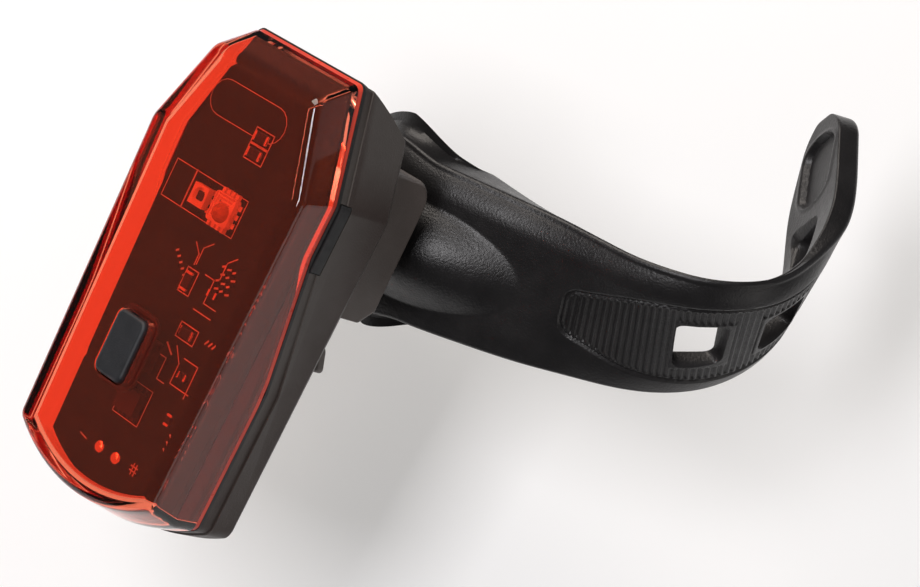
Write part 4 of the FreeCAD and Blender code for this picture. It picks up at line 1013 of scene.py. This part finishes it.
def make_lens():
    outer = lens_rings(0.0, SEAM_STEP, 0.0, LENS_EDGE)
    inner = lens_rings(LENS_WALL, LENS_WALL, LENS_FRONT, LENS_INNER_EDGE)
    piece = ring_object("lens_shell", outer + inner[::-1], "red_lens")
    opening = [[lamp(BUTTON_X + x, y, BUTTON_Z + z) for x, z in
                rounded_ring(BUTTON_WIDTH / 2 - BUTTON_ROUND, BUTTON_HEIGHT / 2 - BUTTON_ROUND,
                             BUTTON_ROUND + BUTTON_GAP + grow)] for y, grow in BUTTON_OPENING]
    cut_away(piece, ring_object("cutter", opening, "red_lens"))
    shade(piece, 30.0)
    finish_piece(piece, "light_unit", "red_lens", "lens_cover")


def make_lens_flange():
    """Edge of the lens that is welded to the housing, solid red beside the black seal."""
    front, back = FLANGE - FLANGE_GAP, FLANGE_BACK
    rings = []
    for inset, height in ((FLANGE_INSET, front), (FLANGE_INSET, back), (FLANGE_WIDTH, back),
                          (FLANGE_WIDTH, front)):
        near, far = outline_points(FRONT, inset), outline_points(RIM, inset)
        rings.append([lens_point(n, f, seam_y(f.y) - height) for n, f in zip(near, far)])
    points = [p for ring in rings for p in ring]
    faces = [tuple(i % len(points) for i in face)
             for face in grid_faces(len(rings) + 1, len(rings[0]), False, False)]
    piece = mesh_object("lens_flange", points, faces, "lens_flange")
    outward_faces(piece)
    shade(piece, 30.0)
    finish_piece(piece, "light_unit", "red_lens")


# What stands on the board


class Builder:
    """Collects boxes, strips and domes of the lamp's frame into one mesh."""

    def __init__(self):
        self.points, self.faces = [], []

    def rings(self, rings):
        base, count = len(self.points), len(rings[0])
        self.points += [lamp(*p) for ring in rings for p in ring]
        self.faces += [tuple(base + i for i in face)
                       for face in grid_faces(len(rings), count, True, True)]

    def block(self, x, z, width, height, y0, y1=BOARD_Y, radius=0.12, edge=0.08):
        """Block with rounded corners and eased front edges; y0 is its front, y1 its back."""
        rings = []
        for y, draw in ((y1, 0.0), (y0 + edge, 0.0), (y0 + edge * 0.3, edge * 0.3), (y0, edge)):
            r = max(radius - draw, 0.01)
            ring = rounded_ring(width / 2 - draw - r, height / 2 - draw - r, r, 3)
            rings.append([(x + u, y, z + v) for u, v in ring])
        self.rings(rings)

    def dome(self, x, z, radius, y_base, height, points=20, levels=7):
        """Half ball with a small flat on top."""
        turn = np.linspace(0, 2 * math.pi, points + 1)[:-1]
        self.rings([[(x + radius * math.cos(a) * math.cos(t), y_base - height * math.sin(a),
                      z + radius * math.cos(a) * math.sin(t)) for t in turn]
                    for a in (math.pi / 2 * i / (levels - 0.7) for i in range(levels))])

    def strip(self, line, width=PRINT_WIDTH, closed=False):
        """Thin printed line through points on the board's face."""
        for (x0, z0), (x1, z1) in zip(line, [*line[1:], *(line[:1] if closed else ())]):
            length = math.hypot(x1 - x0, z1 - z0)
            ux, uz = [c / length * width / 2 for c in (x1 - x0, z1 - z0)]
            corners = ((x0 - ux + uz, z0 - uz - ux), (x1 + ux + uz, z1 + uz - ux),
                       (x1 + ux - uz, z1 + uz + ux), (x0 - ux - uz, z0 - uz + ux))
            self.rings([[(x, BOARD_Y - rise, z) for x, z in corners]
                        for rise in (PRINT_BACK, PRINT_RISE)])

    def piece(self, name, material, *nodes, slot=None):
        made = mesh_object(name, self.points, self.faces, material)
        outward_faces(made)
        shade(made, 40.0)
        finish_piece(made, "light_unit", slot or material, *nodes)


def rectangle(x0, x1, z0, z1):
    return [(x0, z0), (x1, z0), (x1, z1), (x0, z1)]


def stadium(x0, x1, z0, z1, number=9):
    radius, middle = (z1 - z0) / 2, (z0 + z1) / 2
    return [(end + radius * math.cos(a), middle + radius * math.sin(a))
            for end, start in ((x1 - radius, -math.pi / 2), (x0 + radius, math.pi / 2))
            for a in np.linspace(start, start + math.pi, number)]


def make_board_print():
    lines = Builder()
    lines.strip(stadium(*STADIUM), STADIUM_WIDTH, closed=True)
    for x, z, width, height in SMALL_PARTS[:FRAMED_PARTS]:
        half_x, half_z = width / 2 + PART_FRAME_GAPS[0], height / 2 + PART_FRAME_GAPS[1]
        lines.strip(rectangle(x - half_x, x + half_x, z - half_z, z + half_z), closed=True)
    for frame_sides, width in PRINT_FRAMES:
        lines.strip(rectangle(*frame_sides), width, closed=True)
    for width, line in PRINT_LINES:
        lines.strip(line, width)
    for row in range(DOTS_ROWS):
        for column in range(DOTS_COLUMNS):
            x = DOTS_START[0] + DOTS_PITCH[0] * column + DOTS_SHIFT * (row % 2)
            z = DOTS_START[1] + DOTS_PITCH[1] * row
            reach = DOT_REACH[0] + DOT_SPREAD * ((row + column) % 2)
            lines.strip([(x, z), (x + reach, z + DOT_REACH[1])], DOT_WIDTH)
    for width, start, reach, step, number in PRINT_DASHES:
        for i in range(number):
            x, z = start[0] + step[0] * i, start[1] + step[1] * i
            lines.strip([(x, z), (x + reach[0], z + reach[1])], width)
    lines.piece("board_print", "board_print", slot="board_laminate")


def make_board_parts():
    bodies, ends = Builder(), Builder()
    for x, z, width, height in SMALL_PARTS:
        across, up = (1, 0) if width > height else (0, 1)
        bodies.block(x, z, width - 2 * CHIP_END * across, height - 2 * CHIP_END * up,
                     BOARD_Y - CHIP_BODY_RISE)
        end = CHIP_END + CHIP_LAP
        for side in (-1, 1):
            ends.block(x + across * side * (width - CHIP_END) / 2,
                       z + up * side * (height - CHIP_END) / 2,
                       end if across else width, end if up else height, BOARD_Y - CHIP_END_RISE)
    bodies.piece("chip_bodies", "chip_epoxy", "small_components")
    ends.piece("chip_ends", "solder")

    joints = Builder()
    for x in SOLDER_X:
        joints.dome(x, SOLDER_Z, SOLDER_RADIUS, BOARD_Y, SOLDER_RISE)
    joints.piece("solder_domes", "solder", "solder_joints")

    base, dome, pads, chip = Builder(), Builder(), Builder(), Builder()
    base.block(LED_X, LED_Z, LED_SIZE, LED_SIZE, BOARD_Y - LED_RISE, radius=0.5, edge=0.15)
    for side in (-1, 1):
        for row in LED_ROWS:
            pads.block(LED_X + side * LED_PAD_X, LED_Z + row, *LED_PAD, BOARD_Y - LED_PAD_RISE,
                       radius=0.1, edge=0.05)
    for column in LED_COLUMNS:
        for z, rise in LED_FINS:
            base.block(LED_X + column, LED_Z + z, *LED_FIN, BOARD_Y - rise)
    for x, z, width, height in LED_MARKS:
        pads.block(LED_X + x, LED_Z + z, width, height, LED_MARK_FRONT, LED_FACE, 0.1, 0.03)
    dome.dome(LED_X + LED_DOME_SHIFT, LED_Z - LED_DOME_SHIFT, LED_DOME_RADIUS, LED_FACE,
              LED_DOME_RADIUS)
    chip.block(AUX_LED_X, LED_Z, AUX_CHIP, AUX_CHIP, *AUX_CHIP_DEPTHS, 0.2, 0.05)
    chip.piece("led_chip", "chip_epoxy")
    base.piece("led_base", "led_package", "main_led")
    dome.piece("led_dome", "led_phosphor", slot="led_package")
    pads.piece("led_pads", "solder")


# Stage, lights and camera


def make_camera():
    data = bpy.data.cameras.new("camera")
    data.lens = CAMERA_LENS
    data.sensor_width = CAMERA_SENSOR
    data.sensor_fit = "HORIZONTAL"
    data.clip_start = 0.01
    camera = add_object("camera", data)
    matrix = Matrix((CAMERA_RIGHT, -CAMERA_DOWN, -CAMERA_AHEAD)).transposed().to_4x4()
    matrix.translation = CAMERA_PLACE
    camera.matrix_world = matrix
    bpy.context.scene.camera = camera


def make_light(name, direction, distance, size, power, color):
    """Square lamp that faces the object's middle."""
    right, up, back = direction
    way = (CAMERA_RIGHT * right - CAMERA_DOWN * up - CAMERA_AHEAD * back).normalized()
    data = bpy.data.lights.new(name, "AREA")
    data.shape = "RECTANGLE"
    data.size, data.size_y = size
    data.energy = power
    data.color = color
    light = add_object(name, data)
    light.location = MIDDLE + way * distance
    light.rotation_mode = "QUATERNION"
    light.rotation_quaternion = way.to_track_quat("Z", "Y")


def largest(tree, *sources):
    """The largest of several values."""
    result = sources[0]
    for source in sources[1:]:
        result = add_node(tree, "Math", {0: result, 1: source}, operation="MAXIMUM").outputs[0]
    return result


def make_paper():
    """Paper that glows where it is seen, reflected or seen through glass; clear from behind."""
    material = bpy.data.materials.new("backdrop_paper")
    material.use_nodes = True
    tree = material.node_tree
    tree.nodes.clear()
    path = add_node(tree, "LightPath")
    seen = largest(tree, *[path.outputs[f"Is {kind} Ray"]
                           for kind in ("Camera", "Glossy", "Transmission")])
    strength = add_node(tree, "Math", {0: seen, 1: PAPER_GLOW}, operation="MULTIPLY")
    glow = add_node(tree, "Emission", {"Strength": strength.outputs[0]})
    diffuse = add_node(tree, "BsdfDiffuse", {"Color": PAPER_COLOR})
    front = add_node(tree, "AddShader", {0: diffuse.outputs[0], 1: glow.outputs[0]})
    clear = add_node(tree, "BsdfTransparent")
    behind = add_node(tree, "NewGeometry").outputs["Backfacing"]
    paper = add_node(tree, "MixShader", {
        "Fac": behind, 1: front.outputs[0], 2: clear.outputs[0]})
    add_node(tree, "OutputMaterial", {"Surface": paper.outputs[0]})
    return material


def make_stage():
    """White paper behind the object, square to the camera, in a white world."""
    corners = [Vector(c) for c in itertools.product(*zip(cad_low, cad_high))]
    nearest = min((c - CAMERA_PLACE).dot(-CAMERA_AHEAD) for c in corners)
    shift = nearest - (MIDDLE - CAMERA_PLACE).dot(-CAMERA_AHEAD) + PAPER_GAP
    centre = MIDDLE - CAMERA_AHEAD * shift
    corners = [centre + CAMERA_RIGHT * a - CAMERA_DOWN * b for a, b in PAPER_CORNERS]
    mesh = bpy.data.meshes.new("backdrop")
    mesh.from_pydata([tuple(c) for c in corners], [], [(0, 1, 2, 3)])
    mesh.materials.append(make_paper())
    add_object("backdrop", mesh)

    world = bpy.data.worlds.new("studio")
    bpy.context.scene.world = world
    world.use_nodes = True
    tree = world.node_tree
    path = add_node(tree, "LightPath")
    plain = spread(tree, path.outputs["Is Glossy Ray"], WORLD_LIGHT, WORLD_GLOSS, 0.0, 1.0)
    seen = largest(tree, path.outputs["Is Camera Ray"], path.outputs["Is Transmission Ray"])
    strength = add_node(tree, "Mix", {
        "Factor": seen, MIX_FLOAT_A: plain, MIX_FLOAT_B: WORLD_SEEN})
    set_inputs(tree, tree.nodes["Background"], {
        "Color": (1, 1, 1, 1), "Strength": strength.outputs[MIX_FLOAT]})


make_strap()
make_hook()
make_lens()
make_lens_flange()
make_board_print()
make_board_parts()
for row in SOFTENED:
    softened(*row)
bpy.context.scene.view_settings.view_transform = "Standard"
make_camera()
make_stage()
for name, values in LIGHTS.items():
    make_light(name, *values)
